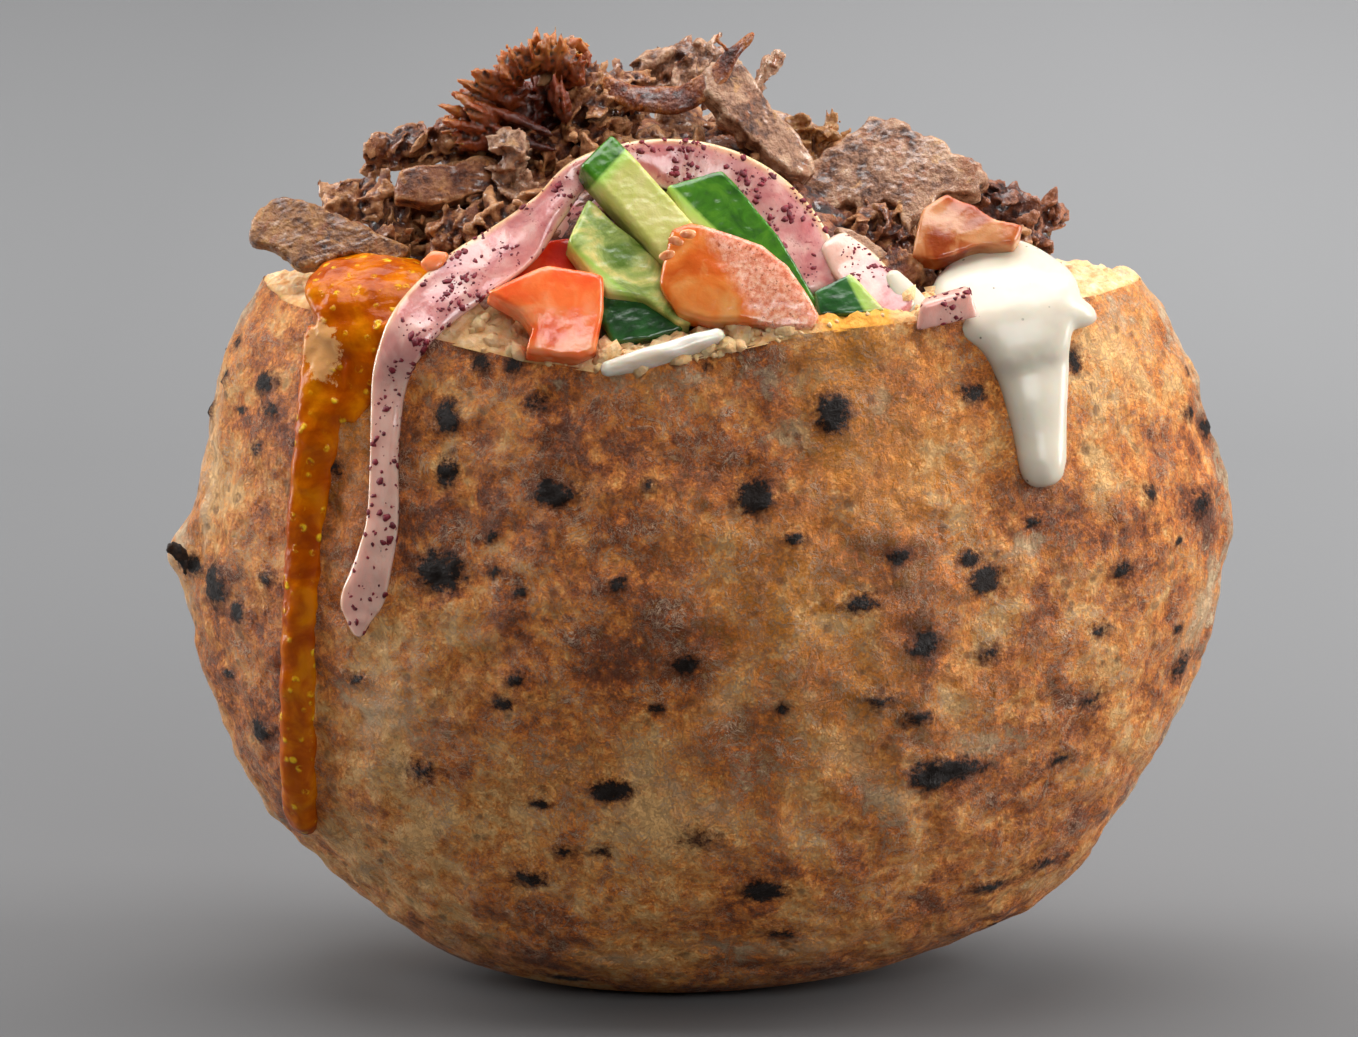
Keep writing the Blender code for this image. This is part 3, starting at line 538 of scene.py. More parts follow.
def make_crust(material):
    """The crust, with its blisters and wrinkles, and what its material reads at each point."""
    angle = np.linspace(0, 2 * np.pi, CRUST_AROUND, endpoint=False)
    rim = rim_heights(angle)
    shares = np.linspace(0, 1, CRUST_UP)**RINGS_LOWER_DOWN
    z = (shares[:, None] * rim[None, :]).ravel()
    angles = np.tile(angle, CRUST_UP)
    points, outward = crust(angles, z)
    faces = grid_faces(CRUST_UP, CRUST_AROUND)
    faces.append(tuple(reversed(range(CRUST_AROUND))))
    made = mesh_object("bread_crust", points, faces, material)
    tree = tree_of(made)
    burnt = spot_field(points, spots_from_photo(tree, BURNT_SPOTS) + scattered_spots(tree, 60, 5, 0.8, 2.6))
    pale = spot_field(points, spots_from_photo(tree, PALE_SPOTS) + scattered_spots(tree, 14, 9, 5.0, 12.0))
    stain = spot_field(points, spots_from_photo(tree, STAINS))
    wrinkle = 0.25 * bumps(points, (2.0, 2.0, 5.0), 3) + 0.55 * bumps(points, 3.8, 5) + 0.25 * bumps(points,
                                                                                                     1.8, 8)
    dent = 0.9 * np.maximum(0, bumps(points, 6.5, 12) - 0.28)
    raised = 0.55 * np.clip(burnt * 2.5, 0, 1) * (0.6 + bumps(points, 1.1, 2))
    lift = (wrinkle - dent + raised - 0.25 * np.clip(pale, 0, 1)) * np.minimum(1.0, z / LUMPS_FROM)
    put_places(made, points + outward * lift[:, None])
    mark(made, "burnt", burnt)
    mark(made, "pale", pale)
    mark(made, "stain", stain)
    seam = np.exp(-(np.sin(angles) / 0.2)**2)
    mark(made, "seam", seam)
    # The crust's toasting with painted light and shade mixed in
    mark(made, "tone", tone_field(points))
    return ride(made, "bread_crust", "bread")


def crust_look():
    made = Look("crust", 0.5, Specular_IOR_Level=0.36)
    broad = made.noise(14.0, 3.0, 0.55, warp=0.5)
    middling = made.noise(4.2, 4.0, 0.62, warp=0.7)
    fine = made.noise(1.4, 5.0, 0.75)
    grain = made.noise(0.4, 3.0, 0.75)
    # The kept field adds painted light and shade to the toasting: shade on the middle of the front, light low
    # on the front
    tone = made.total((broad, 0.3), (middling, 0.28), (fine, 0.24), (grain, 0.18),
                      (made.kept("tone"), 0.04))
    toasted = made.ramp(tone, (0.42, (0.97, 0.54, 0.2)), (0.46, (0.9, 0.35, 0.072)),
                        (0.5, (0.69, 0.195, 0.028)), (0.533, (0.4, 0.095, 0.015)),
                        (0.57, (0.15, 0.032, 0.007)))
    small_shift = made.swing(fine, 1.8)
    both = made.total(made.swing(middling, 2.2), small_shift)
    pale = made.range(made.total(made.kept("pale"), both), 0.15, 0.75, 0.0, 0.8)
    colour = made.mix(pale, toasted, (0.88, 0.62, 0.34))
    seam = made.range(made.total(made.kept("seam"), both), 0.6, 1.3, 0.0, 0.75)
    colour = made.mix(seam, colour, (0.88, 0.66, 0.4))
    stain = made.range(made.total(made.kept("stain"), both), 0.0, 0.8, 0.0, 0.5)
    colour = made.mix(stain, colour, (0.8, 0.31, 0.015))
    # Flour lies as threads in fine wrinkles and as loose grains
    folds = made.crease(made.noise(4.4, 5.0, 0.66, warp=0.9))
    threads = made.crease(made.noise(1.7, 4.0, 0.7, warp=0.8))
    lines = made.math("MAXIMUM", made.range(folds, 0.016, 0.002),
                      made.range(threads, 0.02, 0.004, 0.0, 0.8))
    patch = made.range(made.noise(8.0, 3.0, 0.6), 0.42, 0.58, 0.15, 0.8)
    flour = made.times(lines, patch)
    dust = made.times(made.range(grain, 0.58, 0.68), made.range(made.noise(16.0, 2.0, 0.5), 0.4, 0.62, 0.1,
                                                                0.6))
    colour = made.mix(made.math("MAXIMUM", flour, dust), colour, (0.9, 0.61, 0.4))
    # Freckles and burnt spots, each with a brown edge
    dots = made.range(made.total(made.cells(2.6), (both, 0.4)), 0.3, 0.12)
    dots = made.times(dots, made.range(made.noise(7.0, 2.0, 0.5), 0.42, 0.52))
    colour = made.mix(made.times(dots, 0.6), colour, (0.17, 0.04, 0.01))
    ragged = made.total(made.kept("burnt"), small_shift)
    colour = made.mix(made.range(ragged, -0.3, 0.22, 0.0, 0.92), colour, (0.15, 0.036, 0.007))
    char = made.range(made.total(ragged, made.math("SUBTRACT", grain, 0.5)), 0.2, 0.32)
    colour = made.mix(char, colour, (0.014, 0.006, 0.003))
    made.colour(colour)
    made.set("Roughness", made.range(fine, 0.35, 0.65, 0.33, 0.55))
    dimples = made.noise(2.6, 3.0, 0.55, stretch=(1.0, 1.0, 0.55), warp=0.4)
    burnt_relief = (char, made.noise(0.7, 4.0, 0.7))
    made.bump(made.total((fine, 0.7), (grain, 0.5), (lines, 0.25), (dimples, 1.8), burnt_relief), 0.8)
    return made.material


def make_crumb(material):
    """The cut: the crust's edge, the torn crumb and the top of the pocket's wall."""
    angle = np.linspace(0, 2 * np.pi, CRUMB_AROUND, endpoint=False)
    rim = rim_heights(angle)
    edge, _ = crust(angle, rim)
    inner = skin(angle, rim, END_WALL, FACE_WALL)
    torn = TORN_SLANT * np.exp(-((edge[:, 0] - TORN_AT) / TORN_REACH)**2)
    slant = (RIM_SLANT + torn) * np.maximum(0.0, -np.sin(angle))
    rings, inwards = [], []
    for share in np.linspace(0.0, 1.0, 22):
        rise = 0.75 * math.sin(min(1.0, share / 0.3) * math.pi / 2) - 0.9 * max(0.0, share - 0.75) / 0.25
        ring = edge + (inner - edge) * share
        ring[:, 2] += slant * share + rise - 0.3 * (share == 0)
        rings.append(ring)
        inwards.append(np.full(CRUMB_AROUND, share))
    for depth in (1.0, 2.2, 3.8, 6.0, 9.0):
        ring = inner.copy()
        ring[:, 2] += slant - 0.15 - depth
        rings.append(ring)
        inwards.append(np.full(CRUMB_AROUND, 1.0 + depth / 10))
    points, inwards = np.concatenate(rings), np.concatenate(inwards)
    rough = np.clip(inwards / 0.15, 0, 1)
    holes = np.maximum(0, bumps(points, 2.6, 4) - 0.12)
    lift = 0.9 * bumps(points, 4.0) + 0.75 * bumps(points, 1.7, 6) + 0.5 * bumps(points, 0.9,
                                                                                 9) - 2.4 * holes
    points[:, 2] += lift * rough
    points[:, 1] += 0.5 * bumps(points, 1.8, 14) * rough
    made = mesh_object("bread_crumb", points, grid_faces(len(rings), CRUMB_AROUND), material)
    mark(made, "inwards", inwards)
    seen = pixels_of(points)
    mark(made, "stain", 1.3 - np.hypot((seen[:, 0] - 858) / 42, (seen[:, 1] - 322) / 26))
    # The crumb's relief, kept for the painted shade in its pits
    mark(made, "lift", lift)
    return ride(made, "bread_crust", "bread")


def crumb_look():
    made = Look("crumb", 0.75, Specular_IOR_Level=0.25, Subsurface_Weight=0.25, Subsurface_Scale=0.002)
    grain = made.noise(2.2, 5.0, 0.65)
    colour = made.ramp(grain, (0.3, (0.82, 0.4, 0.14)), (0.5, (0.88, 0.55, 0.28)),
                       (0.68, (0.89, 0.67, 0.43)))
    # Painted shade: the crumb turns darker in its pits, where its relief is low
    deep = made.range(made.kept("lift"), -0.2, -1.3)
    colour = made.mix(made.times(deep, 0.6), colour, (0.66, 0.38, 0.15))
    edge = made.range(made.total(made.kept("inwards"), made.swing(grain, 0.25)),
                      0.1, 0.01)
    colour = made.mix(made.times(edge, 0.7), colour, (0.72, 0.38, 0.13))
    soaked = made.range(made.total(made.kept("stain"), made.swing(grain, 2.0)), 0.1, 0.5)
    colour = made.mix(made.times(soaked, 0.85), colour, (0.8, 0.34, 0.02))
    made.colour(colour)
    made.bump(made.total(made.noise(0.8, 4.0, 0.7), made.cells(1.1)), 0.35)
    return made.material


# Meat

def standing_out(made, rounds):
    """How far each point stands out from the skin around it: below 0 in cracks, above 0 on crests."""
    places = places_of(made)
    ends = np.empty(len(made.data.edges) * 2, np.int32)
    made.data.edges.foreach_get("vertices", ends)
    one, other = ends.reshape(-1, 2).T
    count = np.bincount(ends, minlength=len(places)).astype(float)[:, None]
    rounded = places.copy()
    for _ in range(rounds):
        total = np.stack([np.bincount(one, rounded[other, axis], len(places))
                          + np.bincount(other, rounded[one, axis], len(places)) for axis in range(3)],
                         axis=-1)
        rounded = (rounded + total / count) / 2
    return np.einsum("ij,ij->i", places - rounded, normals_of(made))


def torn_relief(made, along, seed, coarse=0.6, fine=0.5, reach=2.4):
    """Tears a remeshed piece of meat: ragged ridges and short fibres along a direction."""
    places, outward = places_of(made), normals_of(made)
    along = unit(along)
    bend = np.stack([bumps(places, 5.0, seed + k) for k in (1, 2, 3)], axis=-1)
    lying = places + 1.3 * bend
    lengthwise = (lying @ along)[:, None] * along
    thread = (lying - lengthwise) + lengthwise / reach
    ridges = 0.6 - creased(thread, 2.6, seed, 3)
    strands = creased(thread, 1.0, seed + 5, 3) - 0.5
    lift = coarse * ridges + fine * strands + 0.3 * bumps(places, 4.6, seed + 2)
    put_places(made, places + outward * lift[:, None])
    # The lift kept here is painted shade and light: low in the cracks, high on the crests
    near, far = standing_out(made, 5), standing_out(made, 40)
    shade = near / max(near.std(), 1e-6) + far / max(far.std(), 1e-6)
    mark(made, "lift", np.clip(0.5 + min(0.15, 0.3 * (coarse + fine)) * shade, 0, 1))
    return made


def angular_bits(count, corners):
    """Shapes of broken bits, as points and faces: hulls of points spread round a unit ball."""
    draw = random.Random(11)
    found = []
    for _ in range(count):
        shape = bmesh.new()
        for _ in range(corners):
            way = Vector([draw.gauss(0, 1) for _ in range(3)]).normalized()
            shape.verts.new(way * draw.uniform(0.8, 1.1))
        made = bmesh.ops.convex_hull(shape, input=shape.verts)
        bmesh.ops.delete(shape, geom=list(set(made["geom_interior"]) | set(made["geom_unused"])),
                         context="VERTS")
        shape.verts.index_update()
        found.append((np.array([v.co[:] for v in shape.verts]),
                      [tuple(v.index for v in f.verts) for f in shape.faces]))
        shape.free()
    return found


BITS = angular_bits(24, 11)


def broken(name, rows):
    """Broken bits as one object. Each row holds a centre, three half sizes and their three directions."""
    points, faces, start = [], [], 0
    for k, (centre, sizes, ways) in enumerate(rows):
        shape, sides = BITS[k % len(BITS)]
        points.append(centre + (shape * sizes) @ ways)
        faces += [tuple(start + i for i in side) for side in sides]
        start += len(shape)
    return mesh_object(name, np.concatenate(points), faces)


def frame_along(draw, along, stray):
    """Three directions at right angles, the first one near along."""
    first = unit(np.asarray(along, float) + stray * np.array([draw.uniform(-1, 1) for _ in range(3)]))
    second = unit(np.cross(first, [draw.uniform(-1, 1) for _ in range(3)]))
    return np.array((first, second, np.cross(first, second)))


def lump(centre, sizes, turn, seed, along=(0.7, 0.1, 0.5), grain=2.3):
    """A torn lump: a solid middle covered in broken bits that lie along its fibres."""
    draw = random.Random(seed)
    sizes = np.array(sizes)
    rotation = np.array(Matrix.Rotation(turn[0], 3, "X") @ Matrix.Rotation(turn[1], 3, "Y")
                        @ Matrix.Rotation(turn[2], 3, "Z"))
    rows = [(np.array(centre), sizes * 0.8, rotation.T)]
    for _ in range(int(4.4 * (sizes**2).sum() / grain**2)):
        way = unit([draw.gauss(0, 1) for _ in range(3)])
        place = centre + rotation @ (way * sizes) * draw.uniform(0.7, 0.98)
        length = grain * draw.uniform(0.4, 1.5)
        half = (length, length * draw.uniform(0.4, 0.8), length * draw.uniform(0.12, 0.3))
        rows.append((place, half, frame_along(draw, along, 0.8)))
    return broken("lump", rows)


def ball(centre, sizes, turn, seed, detail=3, rough=0.3):
    """An uneven ball with the given half sizes."""
    shape = bmesh.new()
    bmesh.ops.create_icosphere(shape, subdivisions=detail, radius=1.0)
    shift = Vector((seed * 2.3, seed * 4.1, seed * 0.7))
    rotation = (Matrix.Rotation(turn[0], 3, "X") @ Matrix.Rotation(turn[1], 3, "Y")
                @ Matrix.Rotation(turn[2], 3, "Z"))
    for vertex in shape.verts:
        swell = 1 + rough * noise.noise(vertex.co * 1.6 + shift)
        grown = Vector([vertex.co[i] * swell * sizes[i] for i in range(3)])
        vertex.co = (rotation @ grown + Vector(centre)) * MM
    mesh = bpy.data.meshes.new("ball")
    shape.to_mesh(mesh)
    shape.free()
    made = bpy.data.objects.new("ball", mesh)
    bpy.context.scene.collection.objects.link(made)
    return made


SOFT_EDGE = ((0.5, -0.5), (0.86, -0.5), (0.97, -0.36), (1.0, 0.0), (0.97, 0.36), (0.86, 0.5), (0.5, 0.5))
CUT_EDGE = ((0.5, -0.5), (0.94, -0.5), (1.0, -0.42), (1.0, 0.42), (0.94, 0.5), (0.5, 0.5))


def slab(outline, point, normal, thickness, bow=0.0, edge=SOFT_EDGE, sharp=0.35, ragged=0.0):
    """A slice of the outline, given in the photo's pixels, lying in a plane and bowed towards its edges."""
    normal = unit(normal)
    corners = np.array([on_plane(across, down, point, normal) for across, down in outline])
    steps = smooth_loop(corners, 8, sharp)
    middle = steps.mean(axis=0)
    tear = bumps(steps, 2.4, 3) + 0.8 * bumps(steps, 1.1, 5)
    steps = steps + units(steps - middle) * (ragged * tear)[:, None]
    reach = np.linalg.norm(steps - middle, axis=1).max()
    rings = []
    for share, level in edge:
        ring = middle + (steps - middle) * share
        drop = bow * (np.linalg.norm(ring - middle, axis=1) / reach)**2
        rings.append(ring + normal * (thickness * level - drop)[:, None])
    count = len(steps)
    points = np.concatenate([[middle - normal * thickness / 2], *rings, [middle + normal * thickness / 2]])
    faces = [(0, 1 + (i + 1) % count, 1 + i) for i in range(count)]
    faces += [tuple(1 + k for k in face) for face in grid_faces(len(rings), count)]
    last = 1 + (len(rings) - 1) * count
    faces += [(len(points) - 1, last + i, last + (i + 1) % count) for i in range(count)]
    made = mesh_object("slab", points, faces)
    turn_outwards(made)
    return made


def smooth_loop(corners, samples, sharp=0.35):
    """A closed line through the corners, rounder the larger sharp is."""
    count = len(corners)
    found = []
    for k in range(count):
        a, b, c, d = (corners[(k + step) % count] for step in (-1, 0, 1, 2))
        for t in np.arange(samples) / samples:
            m, n = (c - a) * sharp, (d - b) * sharp
            start = (2 * t**3 - 3 * t**2 + 1) * b + (t**3 - 2 * t**2 + t) * m
            end = (-2 * t**3 + 3 * t**2) * c + (t**3 - t**2) * n
            found.append(start + end)
    return np.array(found)


def turn_outwards(made):
    shape = bmesh.new()
    shape.from_mesh(made.data)
    bmesh.ops.recalc_face_normals(shape, faces=shape.faces)
    shape.to_mesh(made.data)
    shape.free()


def torn_piece(name, parts, along, seed, material, nodes, slot="meat_shaved", voxel=0.38, coarse=0.3,
               fine=0.2, reach=2.4):
    """One piece of meat from overlapping parts, fused, torn and fixed in place."""
    made = remesh(join(name, parts), voxel, 1)
    torn_relief(made, along, seed, coarse, fine, reach)
    return dress(made, material, slot, *nodes)


def meat_look(name, dark, middle, light, gloss=0.4, wet=0.5, glow=0.1, cracks=0.5):
    """Roasted meat: painted shade in its cracks and painted light on its crests, lighter along its fibres,
    crisp and wet in places.
    """
    made = Look(name, gloss, Subsurface_Weight=glow, Subsurface_Scale=0.001, Coat_Roughness=0.12,
                Specular_IOR_Level=0.4, Subsurface_Radius=(1.0, 0.35, 0.2))
    broad = made.range(made.noise(5.0, 3.0, 0.6, warp=0.6), 0.34, 0.66)
    fine = made.range(made.noise(1.3, 4.0, 0.65, warp=0.5), 0.28, 0.72)
    # The kept lift paints shade into the cracks and light onto the crests
    level = made.total((made.kept("lift"), cracks), (fine, 0.72 - cracks), (broad, 0.28))
    colour = made.ramp(level, (0.28, (dark[0] * 0.3, dark[1] * 0.2, dark[2] * 0.2)), (0.41, dark),
                       (0.54, middle), (0.74, light))
    crisp = made.range(made.noise(3.4, 4.0, 0.7, warp=0.8), 0.55, 0.64, 0.0, 0.6)
    colour = made.mix(crisp, colour, (dark[0] * 1.9, dark[1] * 1.3, dark[2] * 0.6))
    fat = made.range(made.noise(2.2, 3.0, 0.6, warp=0.5), 0.62, 0.7, 0.0, 0.6)
    colour = made.mix(fat, colour, (light[0] * 1.1, light[1] * 0.95, light[2] * 0.55))
    made.colour(colour)
    made.set("Coat Weight", made.range(made.noise(1.6, 4.0, 0.7), 0.46, 0.58, 0.0, wet * 1.8))
    made.set("Roughness", made.range(fine, 0.0, 1.0, gloss - 0.14, gloss + 0.16))
    made.bump(made.total(made.noise(0.6, 4.0, 0.6), (made.noise(1.6, 2.0, 0.5), 1.2)), 0.5)
    return made.material


CREST = ((-56.0, 105.5), (-47.0, 114.5), (-38.0, 120.5), (-27.0, 124.0), (-14.0, 127.0), (4.0, 128.0),
         (19.0, 121.0), (38.0, 113.0), (54.0, 106.0))
HEAP_LEAN = 3.0
HEAP_DOME = 3.6


def make_heap_core(material):
    """The mound inside the pocket, mostly under the shreds that lie on it."""
    count = 200
    angle = np.linspace(0, 2 * np.pi, count, endpoint=False)
    rim = rim_heights(angle)
    brim = skin(angle, rim, END_WALL + 0.6, FACE_WALL + 0.6)
    brim[:, 2] -= 4.0
    crest_x, crest_z = zip(*CREST)
    rings = []
    for depth in (12.0, 6.0):
        ring = brim.copy()
        ring[:, 2] -= depth
        rings.append(ring)
    for share in np.linspace(1.0, 0.02, 60):
        ring = brim * share
        ring[:, 1] += HEAP_LEAN * (1 - share)
        rise = np.interp(ring[:, 0], crest_x, crest_z) - brim[:, 2]
        ring[:, 2] = brim[:, 2] + (rise - 2.4) * (1 - share**HEAP_DOME)
        rings.append(ring)
    points = np.concatenate(rings)
    faces = grid_faces(len(rings), count)
    faces.append(tuple(range(len(points) - count, len(points))))
    made = mesh_object("meat_heap_core", points, faces, material)
    torn_relief(made, (0.9, 0.1, 0.3), 51, 1.6, 0.5)
    return ride(made, "meat_shaved", "meat_heap")


def make_shreds(name, core, seed, count, low, high, material, front):
    """Torn shreds spread over the mound's front or its back by a seeded rule, and fused."""
    draw = random.Random(seed)
    tree = tree_of(core)
    rows = []
    made_count = tries = 0
    while made_count < count and tries < count * 20:
        tries += 1
        x = draw.uniform(-57, 60)
        y = draw.uniform(-26, 4) if front else draw.uniform(0, 30)
        place, normal, _, _ = tree.ray_cast(Vector((x, y, 200)), Vector((0, 0, -1)))
        if place is None or place.z < 100.5:
            continue
        if front and (place.z < 106 and -32 < x < 44 or y < -6 and -22 < x < 28):
            continue
        made_count += 1
        length = low + (high - low) * draw.random()**1.4
        place, normal = np.array(place), np.array(normal)
        flat = unit(normal + 0.7 * np.array([draw.uniform(-1, 1) for _ in range(3)]))
        ahead = unit(np.cross(flat, [draw.uniform(-1, 1) for _ in range(3)]))
        ways = np.array((ahead, np.cross(flat, ahead), flat))
        half = np.array((length / 2, length * draw.uniform(0.3, 0.5), length * draw.uniform(0.08, 0.14)))
        middle = place + normal * length * 0.05
        rows.append((middle, half, ways))
        for _ in range(3):
            spot = middle + (np.array([draw.uniform(-1, 1) for _ in range(3)]) * half * (0.95, 0.95,
                                                                                         1.2)) @ ways
            small = length * draw.uniform(0.1, 0.22)
            rows.append((spot, (small, small * draw.uniform(0.4, 0.8), small * draw.uniform(0.3, 0.6)),
                         frame_along(draw, ahead, 0.8)))
    made = remesh(broken(name, rows), 0.44, 1)
    torn_relief(made, (0.9, 0.2, 0.3), seed, 0.35, 0.22)
    return dress(made, material, "meat_shaved", "meat_heap")


# Torn lumps of meat: a name, the way the fibres run, a seed, the kind of meat and the solid they stand for,
# then each lump's centre, half sizes, turn and seed
LUMPS = (
    ("meat_clumps_left", (0.7, 0.1, 0.4), 12, "brown", "meat_heap", (
        ((-40.5, 0.5, 124.6), (4.6, 4.0, 3.4), (0.2, 0.2, 0.3), 2),
        ((-33.5, -0.5, 126.4), (4.8, 3.6, 3.2), (0.1, 0.4, 0.3), 5),
        ((-45.8, 1.0, 122.8), (2.8, 2.8, 2.8), (0.1, 0.4, 0.3), 7),
        ((-46.8, 0.0, 125.4), (1.6, 1.5, 1.9), (0.4, 0.4, 0.3), 9),
        ((-50.5, -1.0, 116.5), (3.4, 3.2, 3.4), (0.4, 0.4, 0.3), 11),
        ((-53.5, 0.0, 118.0), (1.6, 1.6, 2.2), (0.4, -0.4, 0.3), 13),
        ((-45.0, -3.0, 116.0), (3.6, 3.4, 4.4), (0.4, -0.4, 0.3), 15),
        ((-44.0, -6.0, 112.0), (4.6, 3.4, 3.4), (0.4, -0.4, 0.3), 17),
        ((-36.0, -8.5, 113.6), (5.0, 3.2, 2.6), (0.4, -0.4, 0.3), 19),
        ((-31.0, -6.5, 115.6), (3.0, 3.0, 3.6), (0.4, -0.4, 0.3), 21),
        ((-32.0, 2.0, 120.5), (5.4, 4.0, 5.4), (0.4, -0.4, 0.3), 23),
        ((-40.0, 1.0, 113.0), (7.0, 4.0, 5.4), (0.0, 0.4, 0.3), 25))),
    ("meat_bit_left", (0.1, 0.0, 1.0), 14, "pale", "meat_heap", (
        ((-27.0, -7.5, 123.0), (1.7, 1.7, 6.2), (0.1, 0.16, 0.3), 31),
        ((-24.6, -8.4, 116.6), (2.1, 1.8, 4.6), (0.1, -0.32, 0.3), 33),
        ((-28.4, -7.0, 127.2), (1.2, 1.2, 2.4), (0.1, 0.3, 0.3), 35))),
    ("meat_chunk_top_torn", (0.5, 0.0, 0.8), 22, "brown", "meat_chunk_top", (
        ((-15.2, 1.0, 129.2), (7.2, 5.4, 7.4), (0.2, 0.3, 0.1), 4),
        ((-19.0, 0.0, 136.0), (3.6, 3.4, 3.4), (0.2, 0.3, 0.1), 41),
        ((-11.5, -1.0, 124.5), (5.2, 4.2, 4.2), (0.2, 0.3, 0.1), 43),
        ((-19.5, -3.0, 124.0), (4.2, 3.6, 4.2), (0.2, 0.3, 0.1), 45),
        ((-9.0, 1.0, 132.6), (3.2, 3.0, 3.0), (0.2, 0.3, 0.1), 47))),
    ("meat_chunk_back_torn", (0.2, 0.1, 0.9), 24, "pale", "meat_chunk_back", (
        ((-2.4, 6.0, 134.4), (5.2, 4.6, 4.2), (0.1, -0.2, 0.4), 9),
        ((-6.6, 5.0, 136.2), (1.5, 1.5, 2.6), (0.1, -0.2, 0.1), 51),
        ((-8.0, 4.6, 133.8), (2.4, 2.0, 1.6), (0.1, -0.2, 0.1), 53),
        ((0.4, 6.2, 137.4), (2.6, 2.4, 2.2), (0.1, -0.2, 0.1), 55),
        ((3.8, 6.0, 133.0), (2.6, 2.4, 3.2), (0.1, -0.2, 0.1), 57),
        ((9.0, 3.0, 134.0), (1.1, 1.2, 4.0), (0.1, 0.5, 0.1), 59))),
    ("meat_clumps_right", (0.3, 0.0, 0.9), 32, "brown", "meat_heap", (
        ((24.8, -9.8, 114.0), (4.4, 3.8, 4.6), (0.2, 0.3, 0.1), 61),
        ((29.0, -9.8, 110.6), (3.6, 3.6, 5.0), (0.1, 0.2, 0.1), 63),
        ((21.0, -9.0, 113.0), (3.0, 3.0, 3.6), (0.1, 0.2, 0.1), 65),
        ((32.5, -8.5, 108.0), (3.4, 3.6, 3.6), (0.1, 0.2, 0.1), 67))),
    ("meat_crisp_right_torn", (0.9, 0.0, -0.3), 36, "dark", "meat_crisp_right", (
        ((42.6, 3.0, 116.4), (6.8, 4.6, 2.4), (0.0, 0.28, 0.1), 27),
        ((49.6, 2.6, 112.8), (3.6, 4.2, 4.4), (0.0, 0.28, 0.1), 29),
        ((44.6, 2.0, 111.6), (6.2, 4.6, 3.0), (0.0, 0.28, 0.1), 81))),
    ("meat_bit_back_torn", (0.3, 0.0, 0.9), 38, "amber", "meat_bit_back", (
        ((17.6, 4.0, 124.0), (4.0, 3.4, 3.6), (0.4, 0.2, 0.1), 15),
        ((14.4, 3.6, 126.4), (1.8, 1.6, 2.6), (0.4, 0.2, 0.1), 83))),
)


# Slices of meat: a name, its outline in the photo's pixels, a point of its plane and the way it faces, its
# thickness, how far it bows, how ragged its edge is, the way its fibres run, a seed and the kind of meat,
# then how fine its mesh is, how deep its ridges and fibres are and how long its fibres are
SLICES = (
    ("meat_leaf_left", ((250, 233), (262, 207), (285, 198), (312, 207), (345, 219), (380, 236), (408, 248),
                        (392, 262), (352, 256), (318, 268), (300, 268), (280, 252), (256, 246)),
     (-53.0, -8.5, 112.6), (-0.05, -0.8, 0.6), 2.6, 1.0, 0.6,
     (0.96, -0.1, 0.35), 3, "amber", 0.3, 0.12, 0.13, 9.0),
    ("meat_slab_left", ((394, 200), (398, 176), (420, 168), (445, 170), (470, 160), (494, 158), (503, 176),
                        (502, 194), (472, 198), (440, 207), (415, 204)),
     (-37.0, -6.5, 119.2), (0.1, -0.85, 0.5), 3.6, 0.6, 0.5,
     (0.9, 0.1, -0.12), 8, "brown", 0.3, 0.16, 0.1, 5.0),
    ("meat_slice_long", ((704, 70), (722, 62), (742, 72), (756, 92), (775, 118), (796, 142), (812, 164),
                         (806, 178), (790, 178), (768, 160), (742, 138), (722, 118), (706, 96)),
     (9.0, -6.0, 128.0), (0.35, -0.75, 0.55), 3.4, 0.5, 0.9,
     (0.68, -0.3, -0.66), 26, "pale", 0.3, 0.15, 0.12, 4.0),
    ("meat_slice_right", ((800, 192), (812, 166), (838, 148), (850, 138), (866, 121), (882, 118),
                          (900, 124), (930, 140), (960, 158), (984, 168), (986, 180), (974, 194),
                          (946, 198), (934, 212), (916, 222), (905, 230), (894, 210), (868, 212),
                          (842, 206), (826, 220), (808, 212)),
     (29.0, -5.0, 121.0), (-0.1, -0.8, 0.6), 3.8, 1.0, 1.1,
     (0.9, 0.0, -0.3), 28, "pale", 0.3, 0.2, 0.15, 1.6),
    ("meat_slice_small", ((836, 228), (850, 232), (872, 244), (890, 258), (896, 268), (882, 271),
                          (862, 262), (846, 248)),
     (23.4, -17.0, 112.3), (0.3, -0.75, 0.55), 1.9, 0.3, 0.5,
     (0.8, -0.3, -0.42), 30, "pale", 0.26, 0.15, 0.15, 2.4),
)
BEADS = 4


def make_meat(meats, fatty):
    """The shavings and torn lumps that show one by one."""
    for name, outline, point, normal, thickness, bow, ragged, along, seed, kind, *finish in SLICES:
        made = slab(outline, point, normal, thickness, bow, CUT_EDGE, ragged=ragged)
        torn_piece(name + "_torn", [made], along, seed, meats[kind], [name], "meat_shaved", *finish)
    for name, along, seed, kind, node, rows in LUMPS:
        slot = "meat_crisp" if kind == "dark" else "meat_shaved"
        torn_piece(name, [lump(*row) for row in rows], along, seed, meats[kind], [node], slot)
    beads = [lump((43.6 + 1.9 * k, -9.4 + 0.9 * k, 109.6 - 0.6 * (k % 2) - 0.5 * k), (1.9, 1.8, 1.7),
                  (0, 0, k), 70 + k)
             for k in range(BEADS)]
    beads += [lump((46.5, -8.0, 111.8), (1.7, 1.6, 1.6), (0, 0, 1), 75)]
    torn_piece("meat_beads", beads, (0.3, 0.0, 0.9), 34, meats["brown"], ["meat_heap"], coarse=0.4)
    make_frill(fatty)


